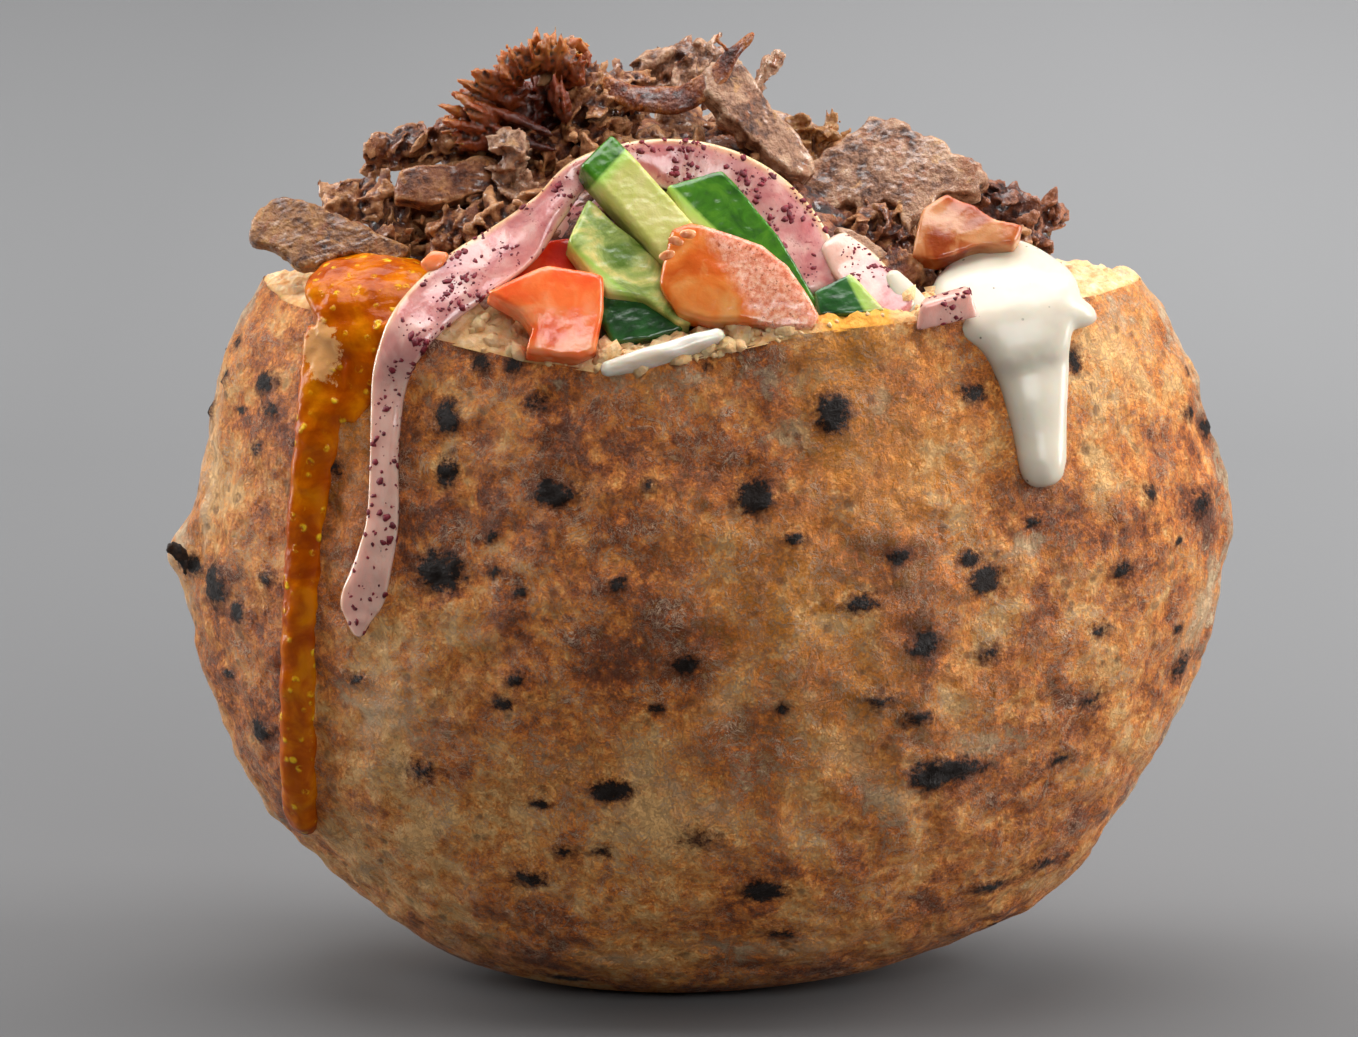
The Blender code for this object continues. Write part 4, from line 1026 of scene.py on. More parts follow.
# The frill in the photo's pixels: where its ribs end and where they start, from the low left to the top right
FRILL_TIPS = ((438, 146), (433, 122), (444, 98), (455, 80), (478, 64), (498, 50), (520, 35), (540, 24),
              (556, 28), (574, 42), (590, 56))
FRILL_ROOTS = ((508, 152), (500, 135), (502, 120), (506, 106), (513, 95), (522, 86), (532, 78), (541, 72),
               (552, 74), (562, 80), (572, 90))
FRILL_RIBS = 84
FRILL_STRANDS = (((470, 118), (548, 150)), ((478, 128), (560, 152)), ((490, 108), (566, 140)),
                 ((468, 132), (540, 158)), ((560, 122), (552, 62)), ((566, 126), (561, 70)))
FRILL_HUB = np.array((-20.6, -5.0, 122.6))


def make_frill(material):
    """The fatty shaving: thin ribs that stand on edge round a dark hollow, and strands across its foot."""
    draw = random.Random(19)
    tips, roots = smooth_rows(FRILL_TIPS, FRILL_RIBS), smooth_rows(FRILL_ROOTS, FRILL_RIBS)
    ends = [(root, root + (tip - root) * draw.uniform(0.8, 1.06) + np.array((draw.uniform(-5, 5),
                                                                             draw.uniform(-5, 5))),
             draw.uniform(-6.6, -2.6)) for root, tip in zip(roots, tips)]
    ends += [(np.array(start), np.array(end), -6.6) for start, end in FRILL_STRANDS]
    rows = []
    for root, tip, y in ends:
        start = on_plane(*root, (0.0, y + 2.4, 0.0), (0.0, -1.0, 0.0))
        end = on_plane(*tip, (0.0, y, 0.0), (0.0, -1.0, 0.0))
        ahead = unit(end - start)
        side = unit(np.cross(ahead, (0.0, 1.0, 0.0)))
        length, ways = np.linalg.norm(end - start), np.array((ahead, side, np.cross(ahead, side)))
        rows.append(((start + end) / 2, (0.56 * length, draw.uniform(0.32, 0.7), draw.uniform(1.0, 1.9)),
                     ways))
        reach = draw.uniform(0.36, 0.46)
        rows.append((start + (end - start) * reach, (reach * length, draw.uniform(0.9, 1.5), 0.9), ways))
    back = [lump((-26.0, 0.5, 130.0), (6.4, 3.0, 6.4), (0.1, 0.0, 0.0), 88),
            lump((-19.8, 0.5, 133.0), (4.4, 3.0, 7.0), (0.1, 0.2, 0.0), 89)]
    made = remesh(join("frill", [broken("ribs", rows), *back]), 0.3, 1)
    torn_relief(made, (-0.6, 0.2, 0.75), 16, 0.35, 0.3, 1.6)
    mark(made, "out", np.linalg.norm((places_of(made) - FRILL_HUB)[:, [0, 2]], axis=1) / 17.5)
    return dress(made, material, "meat_fatty", "meat_frill")


def fatty_look():
    """Amber, see-through fat, dark at its root and pale at its ragged edge, with painted shade in its cracks.
    """
    made = Look("meat_fatty", 0.32, Subsurface_Weight=0.4, Subsurface_Scale=0.002, Coat_Weight=0.2,
                Coat_Roughness=0.15, Subsurface_Radius=(1.0, 0.42, 0.12))
    level = made.total(made.kept("out"), made.swing(made.noise(3.0, 4.0, 0.6), 0.7))
    colour = made.ramp(level, (0.35, (0.06, 0.007, 0.002)), (0.66, (0.2, 0.032, 0.005)),
                       (0.86, (0.27, 0.055, 0.007)), (1.0, (0.42, 0.14, 0.025)))
    # Painted shade: the fat turns almost black in its cracks
    crack = made.range(made.kept("lift"), 0.5, 0.2)
    colour = made.mix(made.times(crack, 0.9), colour, (0.03, 0.006, 0.002))
    made.colour(colour)
    made.bump(made.noise(0.8, 4.0, 0.65), 0.3)
    return made.material


def ribbon(rows, samples, sides, squareness, wave=0.0, seed=0.0):
    """A strip swept along a smooth route.

    Each row holds x, y, z, width, thickness and the direction that the strip's face looks.
    """
    route = smooth_rows(rows, samples)
    points, across_at, along_at = [], [], []
    for k, row in enumerate(route):
        ahead = unit(route[min(k + 1, samples - 1), :3] - route[max(k - 1, 0), :3])
        facing = unit(row[5:8] - ahead * np.dot(row[5:8], ahead))
        across = np.cross(facing, ahead)
        end = min(k, samples - 1 - k)
        blunt = (0.45, 0.75, 0.92)[end] if end < 3 else 1.0
        for a in 2 * math.pi * np.arange(sides) / sides:
            c, s = math.cos(a), math.sin(a)
            wide = math.copysign(abs(c)**squareness, c) * row[3] / 2
            thick = math.copysign(abs(s)**squareness, s) * row[4] / 2
            ripple = wave * noise.noise(Vector((wide / 2.5, k * 0.09 + seed, seed)))
            points.append(row[:3] + blunt * (across * wide + facing * (thick + ripple)))
            across_at.append(c)
            along_at.append(k / (samples - 1))
    faces = [tuple(reversed(range(sides)))] + grid_faces(samples, sides)
    faces.append(tuple(range((samples - 1) * sides, samples * sides)))
    made = mesh_object("ribbon", points, faces)
    mark(made, "across", across_at)
    mark(made, "along", along_at)
    return made


def make_crisp_strip(material):
    """The dark crisp strip, which thins to two twigs."""
    strip = ribbon((
        (-14.0, -0.5, 134.2, 1.6, 1.2, 0, -0.8, 0.6),
        (-10.5, -3.0, 132.6, 3.8, 1.6, 0, -0.75, 0.65),
        (-5.5, -4.4, 131.9, 4.6, 1.8, 0, -0.75, 0.65),
        (-1.0, -4.8, 132.8, 4.2, 1.8, -0.1, -0.75, 0.6),
        (2.4, -4.8, 135.4, 3.4, 1.6, -0.35, -0.8, 0.4),
        (5.2, -4.0, 139.0, 2.2, 1.3, -0.6, -0.7, 0.2),
        (7.9, -3.2, 141.6, 1.0, 0.9, -0.6, -0.7, 0.2)), 90, 16, 0.8, 0.5, 4)
    twig = ribbon((
        (4.8, -4.2, 138.0, 1.0, 0.9, -0.6, -0.7, 0.2),
        (3.6, -4.4, 139.8, 0.7, 0.7, -0.6, -0.7, 0.2),
        (2.6, -4.6, 140.8, 0.6, 0.6, -0.6, -0.7, 0.2),
        (3.0, -4.6, 142.0, 0.5, 0.5, -0.6, -0.7, 0.2)), 24, 8, 0.9, 0.0, 4)
    made = remesh(join("crisp_strip", [strip, twig]), 0.26, 1)
    torn_relief(made, (0.8, 0.1, 0.5), 18, 0.14, 0.1)
    return dress(made, material, "meat_crisp", "meat_strip_crisp")


# Vegetables

def hull(corners, rounding, segments=4):
    """A cut piece of vegetable: the hull of its corners, with its edges rounded."""
    shape = bmesh.new()
    for corner in corners:
        shape.verts.new(Vector(corner) * MM)
    made = bmesh.ops.convex_hull(shape, input=shape.verts)
    bmesh.ops.delete(shape, geom=list(set(made["geom_interior"]) | set(made["geom_unused"])),
                     context="VERTS")
    bmesh.ops.dissolve_limit(shape, angle_limit=math.radians(8), verts=shape.verts, edges=shape.edges)
    bmesh.ops.bevel(shape, geom=list(shape.edges), offset=rounding * MM, segments=segments, profile=0.6,
                    affect="EDGES", clamp_overlap=True)
    bmesh.ops.recalc_face_normals(shape, faces=shape.faces)
    mesh = bpy.data.meshes.new("hull")
    shape.to_mesh(mesh)
    shape.free()
    found = bpy.data.objects.new("hull", mesh)
    bpy.context.scene.collection.objects.link(found)
    return found


def make_cucumber(name, outline, point, normal, thickness, material, line, bow=0.0):
    """A cut piece of cucumber. What lies to the left of the line, as the photo shows it, is flesh."""
    made = remesh(slab(outline, point, normal, thickness, bow, CUT_EDGE, 0.08), 0.32, 1)
    made.name = name + "_cut"
    places, outward = places_of(made), normals_of(made)
    lift = 0.1 * bumps(places, 3.0, 5) + 0.04 * bumps(places, 1.0, 7)
    put_places(made, places + outward * lift[:, None])
    mark(made, "depth", 0.9 + 0.7 * beyond(places, *line) if line else np.zeros(len(places)))
    return dress(made, material, "cucumber", name)


def cucumber_look(name, dark, green, flesh):
    """Skin that fades through light green into wet, pale flesh."""
    made = Look(name, 0.22, Subsurface_Weight=0.35, Subsurface_Scale=0.003, Coat_Weight=0.2,
                Coat_Roughness=0.08, Subsurface_Radius=(0.6, 1.0, 0.3))
    mottle = made.noise(4.5, 4.0, 0.6, warp=0.8)
    skin_colour = made.ramp(mottle, (0.35, dark), (0.52, green),
                            (0.7, (green[0] * 2.2, green[1] * 1.5, green[2] * 2.0)))
    streaks = made.noise(2.6, 3.0, 0.5, stretch=(1.0, 1.0, 0.4))
    flesh_colour = made.ramp(streaks, (0.35, (flesh[0] * 0.82, flesh[1] * 0.92, flesh[2] * 0.6)),
                             (0.65, flesh))
    deep = made.total(made.kept("depth"), made.swing(mottle, 0.5))
    colour = made.mix(made.range(deep, 0.75, 1.1), skin_colour, (0.36, 0.55, 0.1))
    colour = made.mix(made.range(deep, 1.1, 2.2), colour, flesh_colour)
    made.colour(colour)
    made.bump(made.total(made.noise(1.4, 3.0, 0.5), (made.cells(1.2), 0.3)), 0.1)
    return made.material


def make_cucumbers():
    bright = cucumber_look("cucumber_bright", (0.015, 0.08, 0.002), (0.045, 0.17, 0.006),
                           (0.54, 0.49, 0.17))
    deep = cucumber_look("cucumber_deep", (0.005, 0.035, 0.005), (0.015, 0.09, 0.014), (0.52, 0.52, 0.2))
    mottled = cucumber_look("cucumber_mottled", (0.13, 0.22, 0.03), (0.38, 0.46, 0.12), (0.72, 0.68, 0.31))
    make_cucumber("cucumber_stick", ((579, 173), (609, 143), (619, 151), (652, 187), (692, 232), (664, 268),
                                     (624, 223), (591, 187)),
                  (-7.5, -22.0, 119.0), (0.1, -0.8, 0.6), 5.6, bright, ((622, 152), (592, 186)))
    make_cucumber("cucumber_wedge_dark", ((666, 190), (720, 174), (748, 204), (777, 240), (800, 278),
                                          (821, 316), (808, 322), (780, 290), (750, 262), (712, 240),
                                          (684, 224)),
                  (6.0, -22.5, 114.5), (0.15, -0.85, 0.5), 3.6, bright, ((815, 326), (668, 182)))
    make_cucumber("cucumber_wedge_left", ((587, 206), (613, 231), (640, 252), (664, 277), (690, 330),
                                          (676, 330), (642, 306), (606, 300), (584, 272), (567, 247)),
                  (-9.5, -25.6, 110.0), (0.1, -0.8, 0.6), 5.4, mottled, ((668, 326), (566, 239)))
    make_cucumber("cucumber_piece_right", ((814, 298), (850, 280), (866, 296), (884, 316), (868, 320),
                                           (818, 322)),
                  (20.8, -28.2, 105.8), (0.0, -0.8, 0.6), 4.6, deep, ((848, 278), (870, 322)))
    make_cucumber("cucumber_piece_low", ((600, 302), (622, 301), (645, 306), (664, 320), (684, 336),
                                         (650, 346), (612, 350), (602, 330)),
                  (-9.5, -29.6, 102.0), (0.0, -0.8, 0.6), 5.0, deep, None)


def tomato_look(name, skin_colour, flesh, pale, speckled=0.0):
    """Wet flesh with paler walls, and fine brown speckles where the spice lies on it."""
    made = Look(name, 0.2, Subsurface_Weight=0.5, Subsurface_Scale=0.004, Coat_Weight=0.15,
                Coat_Roughness=0.06, Subsurface_Radius=(1.0, 0.3, 0.12))
    broad = made.noise(7.0, 3.0, 0.5, warp=0.7)
    fine = made.noise(1.6, 4.0, 0.6)
    colour = made.ramp(broad, (0.4, skin_colour), (0.5, flesh), (0.62, pale))
    veins = made.range(made.noise(3.0, 2.0, 0.5, stretch=(1.0, 1.0, 0.5), warp=1.2), 0.58, 0.7, 0.0, 0.4)
    colour = made.mix(veins, colour, pale)
    if speckled:
        wall = made.range(made.total(made.kept("wall"), made.swing(fine, 0.5)),
                          -0.1, 0.25)
        speckle = made.range(made.noise(0.9, 5.0, 0.75), 0.38, 0.62)
        pink = made.ramp(speckle, (0.0, (0.6, 0.17, 0.09)), (0.45, (0.74, 0.32, 0.2)),
                         (1.0, (0.86, 0.54, 0.4)))
        colour = made.mix(made.times(wall, 0.9), colour, pink)
        dots = made.times(made.range(made.noise(0.5, 3.0, 0.6), 0.6, 0.68), wall)
        colour = made.mix(made.times(dots, speckled), colour, (0.25, 0.05, 0.02))
    made.colour(colour)
    made.bump(made.total(made.noise(2.2, 3.0, 0.5), (made.noise(0.6, 3.0, 0.6), 0.25)), 0.14)
    return made.material


def make_tomato(name, outline, point, normal, thickness, material, bow=0.6, dent=0.0,
                line=((0, 0), (0, 9))):
    """A cut piece of tomato. Its wall, with the spice on it, lies to the left of the line, in the photo."""
    made = remesh(slab(outline, point, normal, thickness, bow, CUT_EDGE, 0.14), 0.34, 2)
    made.name = name + "_cut"
    places, outward = places_of(made), normals_of(made)
    lift = 0.16 * bumps(places, 4.0, 3) + 0.05 * bumps(places, 1.6, 6)
    lift -= dent * np.maximum(0, bumps(places, 5.0, 9))
    put_places(made, places + outward * lift[:, None])
    mark(made, "wall", beyond(places, *line) / 6.0)
    return dress(made, material, "tomato", name)


def make_tomatoes():
    bright = tomato_look("tomato_bright", (0.82, 0.11, 0.02), (0.86, 0.17, 0.035), (0.88, 0.3, 0.12))
    wet = tomato_look("tomato_wet", (0.64, 0.12, 0.012), (0.7, 0.18, 0.024), (0.72, 0.3, 0.08), 0.8)
    salmon = tomato_look("tomato_salmon", (0.3, 0.05, 0.008), (0.42, 0.11, 0.024), (0.6, 0.28, 0.12))
    deep = tomato_look("tomato_deep", (0.5, 0.02, 0.006), (0.62, 0.04, 0.01), (0.7, 0.1, 0.03))
    make_tomato("tomato_front", ((487, 295), (520, 281), (548, 270), (602, 278), (603, 313), (596, 354),
                                 (577, 362), (526, 356), (532, 334), (520, 317), (499, 303)),
                (-20.0, -32.6, 104.4), (0.05, -0.85, 0.45), 6.0, bright, 1.2)
    make_tomato("tomato_seeded", ((660, 287), (664, 262), (672, 233), (690, 227), (712, 233), (740, 242),
                                  (763, 250), (787, 270), (806, 296), (820, 318), (812, 331), (783, 334),
                                  (745, 326), (710, 326), (677, 317)),
                (4.0, -30.4, 108.6), (0.0, -0.85, 0.5), 5.2, wet, 1.0, 0.4, ((700, 225), (760, 335)))
    make_tomato("tomato_back", ((510, 288), (528, 266), (550, 246), (571, 243), (580, 262), (577, 280),
                                (548, 276)),
                (-21.5, -19.6, 110.8), (0.0, -0.8, 0.5), 4.6, deep)
    make_tomato("tomato_right", ((911, 259), (922, 213), (947, 198), (973, 210), (997, 225), (1022, 230),
                                 (1014, 248), (978, 252), (937, 265)),
                (38.0, -16.0, 114.6), (0.0, -0.75, 0.6), 4.2, salmon, 0.8, 1.0)
    make_tomato("tomato_bit", ((420, 264), (433, 252), (449, 254), (443, 268), (430, 273)),
                (-37.0, -22.6, 112.0), (0.0, -0.8, 0.5), 1.8, bright, 0.2)


# Onion

HANGING = ((-48.2, 59.0, 0.8), (-48.4, 60.8, 3.2), (-48.2, 63.4, 5.8), (-47.2, 66.4, 6.2),
           (-46.0, 70.6, 5.4), (-44.9, 76.0, 4.6), (-44.5, 87.0, 4.2), (-43.8, 95.5, 5.2))
OVER_RIM = (
    (-41.6, -30.0, 101.6, 6.8, 1.7, -0.28, -0.94, 0.2),
    (-38.2, -27.4, 105.6, 8.0, 1.7, -0.33, -0.86, 0.35),
    (-32.8, -24.6, 109.8, 9.2, 1.7, -0.38, -0.78, 0.45),
    (-26.4, -22.3, 114.0, 8.6, 1.7, -0.4, -0.75, 0.5),
    (-21.6, -20.0, 118.4, 5.4, 2.2, -0.3, -0.9, 0.3),
    (-16.9, -17.0, 123.2, 4.4, 2.4, 0.0, -1.0, 0.2),
    (-9.6, -15.4, 124.6, 6.0, 2.0, 0, -0.95, 0.3),
    (-1.3, -15.2, 123.8, 8.0, 1.7, 0, -0.93, 0.36),
    (6.2, -16.3, 121.0, 9.2, 1.7, 0.1, -0.92, 0.36),
    (11.8, -18.6, 116.6, 9.4, 1.7, 0.2, -0.9, 0.36),
    (15.5, -21.2, 111.6, 8.6, 1.7, 0.25, -0.9, 0.32),
    (17.6, -23.4, 107.4, 6.6, 1.6, 0.3, -0.9, 0.3),
)


def onion_look():
    """Pink, see-through onion with pale yellow edges, a dusting of sumac and painted light on the part that
    hangs down the front.
    """
    made = Look("onion_pickled", 0.2, Subsurface_Weight=0.6, Subsurface_Scale=0.003, Coat_Weight=0.5,
                Coat_Roughness=0.1, Subsurface_Radius=(1.0, 0.5, 0.45))
    along = made.noise(3.6, 3.0, 0.5, warp=0.5)
    colour = made.ramp(along, (0.36, (0.55, 0.18, 0.18)), (0.5, (0.64, 0.28, 0.26)),
                       (0.64, (0.71, 0.4, 0.35)))
    edge = made.range(made.kept("across"), 0.5, 0.98, 0.0, 0.85)
    colour = made.mix(edge, colour, (0.68, 0.52, 0.22))
    other = made.range(made.kept("across"), -0.75, -1.0, 0.0, 0.5)
    colour = made.mix(other, colour, (0.85, 0.7, 0.62))
    dust = made.times(made.range(made.noise(0.7, 4.0, 0.7), 0.56, 0.68),
                      made.range(made.noise(5.0, 2.0, 0.5), 0.42, 0.62))
    colour = made.mix(made.times(dust, 0.8), colour, (0.3, 0.035, 0.05))
    # Painted light: the part that hangs down the front is paler
    hanging = made.range(made.kept("along"), 0.48, 0.3, 0.0, 0.7)
    colour = made.mix(hanging, colour, (0.88, 0.56, 0.44))
    made.colour(colour)
    made.bump(made.noise(1.4, 3.0, 0.5, stretch=(1.0, 1.0, 0.4)), 0.16)
    return made.material


def white_look():
    made = Look("onion_white", 0.18, Subsurface_Weight=0.5, Subsurface_Scale=0.003, Coat_Weight=0.5,
                Coat_Roughness=0.08)
    veins = made.noise(1.6, 3.0, 0.5, stretch=(0.4, 1.0, 1.0))
    made.colour(made.ramp(veins, (0.35, (0.68, 0.62, 0.48)), (0.65, (0.85, 0.82, 0.74))))
    made.bump(veins, 0.15)
    return made.material


def make_onions():
    """The strips. Gives those that carry sumac."""
    pink, white = onion_look(), white_look()
    rows = [(x, crust_front(x, z) - 1.3, z, width, 1.7, -0.25, -0.97, 0.1) for x, z, width in HANGING]
    found = []
    shapes = {
        "onion_strip_long": ribbon(rows + list(OVER_RIM), 260, 28, 0.55, 0.5, 2),
        "onion_strip_right": ribbon((
            (18.6, -19.5, 114.2, 4.4, 1.6, 0.2, -0.85, 0.5),
            (22.0, -22.0, 110.8, 6.8, 1.8, 0.2, -0.85, 0.5),
            (25.6, -25.6, 107.6, 6.6, 1.8, 0.2, -0.85, 0.5),
            (29.2, -28.6, 105.0, 4.4, 1.6, 0.2, -0.85, 0.5)), 60, 20, 0.5, 0.2, 5),
        "onion_strip_back": ribbon((
            (-22.5, -16.0, 112.0, 3.0, 1.8, -0.3, -0.85, 0.4),
            (-18.4, -15.2, 116.0, 4.8, 2.0, -0.3, -0.85, 0.4),
            (-13.8, -13.0, 119.4, 4.2, 1.8, -0.2, -0.85, 0.4)), 50, 20, 0.6, 0.4, 7),
    }
    for name, made in shapes.items():
        made.name = name + "_cut"
        found.append(dress(made, pink, "onion_pickled", name))
    dice = remesh(hull(((30.2, -33.6, 103.2), (30.6, -29.4, 103.8), (31.0, -33.4, 107.2),
                        (31.4, -29.8, 107.6), (39.4, -32.0, 105.0), (38.8, -28.2, 105.8),
                        (38.2, -32.2, 109.0), (37.8, -28.8, 109.4)), 0.8), 0.36, 3)
    dice.name = "onion_dice_cut"
    mark(dice, "across", 0.9 * bumps(places_of(dice), 5.0, 3))
    mark(dice, "along", np.full(len(dice.data.vertices), 0.34))
    found.append(dress(dice, pink, "onion_pickled", "onion_dice"))
    sliver = ribbon((
        (-13.8, -36.2, 98.2, 1.8, 2.2, 0, -0.7, 0.7),
        (-8.5, -36.0, 99.7, 2.4, 3.0, 0, -0.7, 0.7),
        (-2.5, -35.6, 101.4, 2.4, 3.0, 0, -0.7, 0.7),
        (3.4, -34.6, 103.2, 1.8, 2.2, 0, -0.7, 0.7)), 60, 18, 0.6, 0.3, 9)
    sliver.name = "onion_sliver_cut"
    dress(sliver, white, "onion_white", "onion_sliver")
    return found


# Sauces

def down_front(places, proud, lean=0.1):
    return [(x, crust_front(x, z) - proud, z, width, thickness, (x / 75.0)**3, -1.0, lean)
            for x, z, width, thickness in places]


def make_mango(material):
    """The mango sauce: a pool with a film over the rim, and one long run."""
    pool = ribbon((
        (-43.0, -8.5, 109.0, 8.0, 3.0, -0.1, -0.4, 0.9),
        (-45.4, -12.5, 108.6, 16.0, 4.0, -0.1, -0.4, 0.9),
        (-47.0, -17.0, 107.2, 18.4, 4.6, -0.1, -0.45, 0.88),
        (-47.4, -20.8, 105.0, 17.4, 4.4, -0.12, -0.6, 0.75),
        (-48.4, -23.4, 101.8, 14.0, 3.6, -0.2, -0.85, 0.45),
        (-50.6, -24.2, 98.0, 10.0, 3.0, -0.3, -0.95, 0.2)), 70, 36, 0.7, 0.4, 3)
    run = ribbon(down_front((
        (-50.4, 101.0, 12.6, 2.6), (-52.6, 95.0, 9.4, 3.2), (-54.2, 87.0, 7.2, 3.6),
        (-55.8, 77.0, 6.0, 3.8), (-56.8, 65.0, 5.8, 3.8), (-57.6, 50.0, 5.8, 3.8), (-57.9, 37.0, 5.8, 4.0),
        (-57.9, 30.0, 5.6, 4.6), (-57.7, 26.4, 4.2, 3.6)), 0.5), 160, 28, 0.9, 0.3, 6)
    film = ribbon(down_front((
        (-41.0, 101.5, 5.0, 1.4), (-43.6, 99.6, 8.0, 1.5), (-46.4, 96.6, 8.0, 1.4), (-48.6, 93.0, 5.4, 1.2),
        (-50.4, 89.0, 2.6, 1.0)), 0.3), 60, 24, 0.8, 0.3, 8)
    made = remesh(join("mango", [pool, run, film]), 0.42, 6)
    places, outward = places_of(made), normals_of(made)
    put_places(made, places + outward * (0.3 * bumps(places, 3.4, 4) + 0.1 * bumps(places, 1.2, 2))[:,
                                                                                                    None])
    seen = pixels_of(places)
    # A paler patch of dried film: partly its own colour, partly a painted highlight
    mark(made, "film", 1.1 - np.hypot((seen[:, 0] - 322) / 30, (seen[:, 1] - 352) / 46))
    return dress(made, material, "mango_sauce", "mango_sauce")


def mango_look():
    """Glossy amber sauce with brighter bits of fruit in it, and a pale film that is partly a painted
    highlight.
    """
    made = Look("mango_sauce", 0.18, Subsurface_Weight=0.2, Subsurface_Scale=0.002, Specular_IOR_Level=0.14,
                Subsurface_Radius=(1.0, 0.45, 0.05))
    broad = made.noise(6.0, 4.0, 0.6, warp=0.6)
    colour = made.ramp(broad, (0.36, (0.34, 0.05, 0.0004)), (0.5, (0.48, 0.095, 0.0006)),
                       (0.64, (0.62, 0.18, 0.001)))
    bits = made.times(made.range(made.cells(2.1), 0.34, 0.2), made.range(made.noise(1.8, 3.0, 0.6), 0.45,
                                                                         0.6))
    colour = made.mix(made.times(bits, 0.85), colour, (0.95, 0.6, 0.02))
    # The film's pale peach: partly the dried sauce's own colour, partly a painted highlight
    film = made.total(made.kept("film"), made.swing(made.noise(2.0, 4.0, 0.65), 1.4))
    colour = made.mix(made.range(film, 0.42, 0.52, 0.0, 0.8), colour, (0.8, 0.42, 0.16))
    made.colour(colour)
    made.bump(made.total(made.noise(2.4, 3.0, 0.5), (bits, 0.5)), 0.3)
    return made.material


def make_sesame(material):
    """The sesame sauce: a smooth blob over the rim with one thick run, and a smear on the onion."""
    pool = ribbon((
        (39.0, -11.5, 109.6, 8.0, 3.6, 0, -0.5, 0.85),
        (41.2, -15.0, 109.4, 15.0, 4.6, 0, -0.5, 0.85),
        (43.0, -20.0, 107.4, 20.0, 5.0, 0, -0.5, 0.85),
        (44.8, -25.0, 104.8, 19.0, 4.6, 0, -0.6, 0.76),
        (46.2, -27.4, 101.6, 13.2, 3.8, 0.1, -0.85, 0.45),
        (46.9, -28.4, 97.6, 10.2, 3.4, 0.2, -0.98, 0.2)), 70, 36, 0.8, 0.2, 2)
    tip = ball((52.2, -24.0, 104.4), (4.4, 2.6, 2.0), (0.0, 0.2, 0.3), 3, 3, 0.2)
    run = ribbon(down_front((
        (45.0, 105.0, 14.6, 2.4), (45.6, 102.6, 13.8, 3.2), (46.9, 98.0, 11.0, 4.0), (47.8, 92.0, 8.4, 4.4),
        (48.3, 87.0, 7.0, 4.6), (48.6, 83.6, 6.2, 4.8), (48.8, 81.0, 4.6, 4.0)), 0.8), 90, 32, 0.95, 0.1, 5)
    made = remesh(join("sesame", [pool, tip, run]), 0.42, 60)
    places, outward = places_of(made), normals_of(made)
    put_places(made, places + outward * (0.6 + 0.25 * bumps(places, 6.0, 4))[:, None])
    dress(made, material, "sesame_sauce", "sesame_sauce")
    strip = ribbon((
        (27.0, -24.2, 110.4, 2.0, 1.4, 0.2, -0.85, 0.5), (28.6, -25.6, 108.0, 3.8, 1.8, 0.2, -0.85, 0.5),
        (30.6, -27.2, 105.6, 4.2, 1.8, 0.2, -0.85, 0.5), (32.2, -28.4, 104.0, 2.4, 1.4, 0.2, -0.85, 0.5)),
                   40, 20, 0.8)
    smear = remesh(join("smear", [strip]), 0.36, 4)
    dress(smear, material, "sesame_sauce", "sesame_smear")


def sesame_look():
    made = Look("sesame_sauce", 0.25, Subsurface_Weight=0.35, Subsurface_Scale=0.003,
                Specular_IOR_Level=0.4)
    broad = made.noise(8.0, 3.0, 0.5)
    colour = made.ramp(broad, (0.3, (0.64, 0.57, 0.45)), (0.7, (0.72, 0.66, 0.54)))
    dots = made.times(made.range(made.cells(3.0), 0.085, 0.05), made.range(made.noise(6.0, 2.0, 0.5), 0.45,
                                                                           0.55))
    colour = made.mix(made.times(dots, 0.9), colour, (0.1, 0.07, 0.04))
    made.colour(colour)
    made.bump(made.noise(5.0, 2.0, 0.4), 0.2)
    return made.material


# Spice, crumbs and burnt flakes

def carried_faces(carriers):
    """The triangles of some pieces: their corners, the ways they face and their areas."""
    corners, outwards, areas = [], [], []
    for made in carriers:
        places = places_of(made)
        made.data.calc_loop_triangles()
        chosen = np.empty(len(made.data.loop_triangles) * 3, np.int32)
        made.data.loop_triangles.foreach_get("vertices", chosen)
        triangles = places[chosen.reshape(-1, 3)]
        across = np.cross(triangles[:, 1] - triangles[:, 0], triangles[:, 2] - triangles[:, 0])
        corners.append(triangles)
        outwards.append(units(across))
        areas.append(np.linalg.norm(across, axis=1) / 2)
    return np.concatenate(corners), np.concatenate(outwards), np.concatenate(areas)


def flecks(name, carriers, count, seed, small, large, material, slot, flat=0.35, chooser=None):
    """Small ragged flecks that lie on the carriers, spread by a seeded rule."""
    draw = random.Random(seed)
    shape = bmesh.new()
    bmesh.ops.create_icosphere(shape, subdivisions=1, radius=1.0)
    base = np.array([v.co[:] for v in shape.verts])
    base_faces = [tuple(v.index for v in f.verts) for f in shape.faces]
    shape.free()
    points, faces = [], []
    corners, outwards, areas = carried_faces(carriers)
    reach = np.cumsum(areas)
    made_count = 0
    while made_count < count:
        found = min(int(np.searchsorted(reach, draw.random() * reach[-1])), len(reach) - 1)
        shares = np.array([-math.log(draw.random() + 1e-12) for _ in range(3)])
        place, outward = shares / shares.sum() @ corners[found], outwards[found]
        if chooser and not chooser(place, outward, draw):
            continue
        side = unit(np.cross(outward, (draw.uniform(-1, 1), draw.uniform(-1, 1), draw.uniform(-1, 1))))
        other = np.cross(outward, side)
        size = small + (large - small) * draw.random()**3
        stretch = draw.uniform(0.6, 1.6)
        rough = np.array([draw.uniform(0.55, 1.25) for _ in base])
        local = base * rough[:, None] * size / 2
        where = place + local[:, :1] * side * stretch + local[:, 1:2] * other + local[:,
                                                                                      2:3] * outward * flat
        start = len(points) * len(base)
        points.append(where)
        faces += [tuple(start + k for k in face) for face in base_faces]
        made_count += 1
    made = mesh_object(name, np.concatenate(points), faces, material)
    return ride(made, slot)


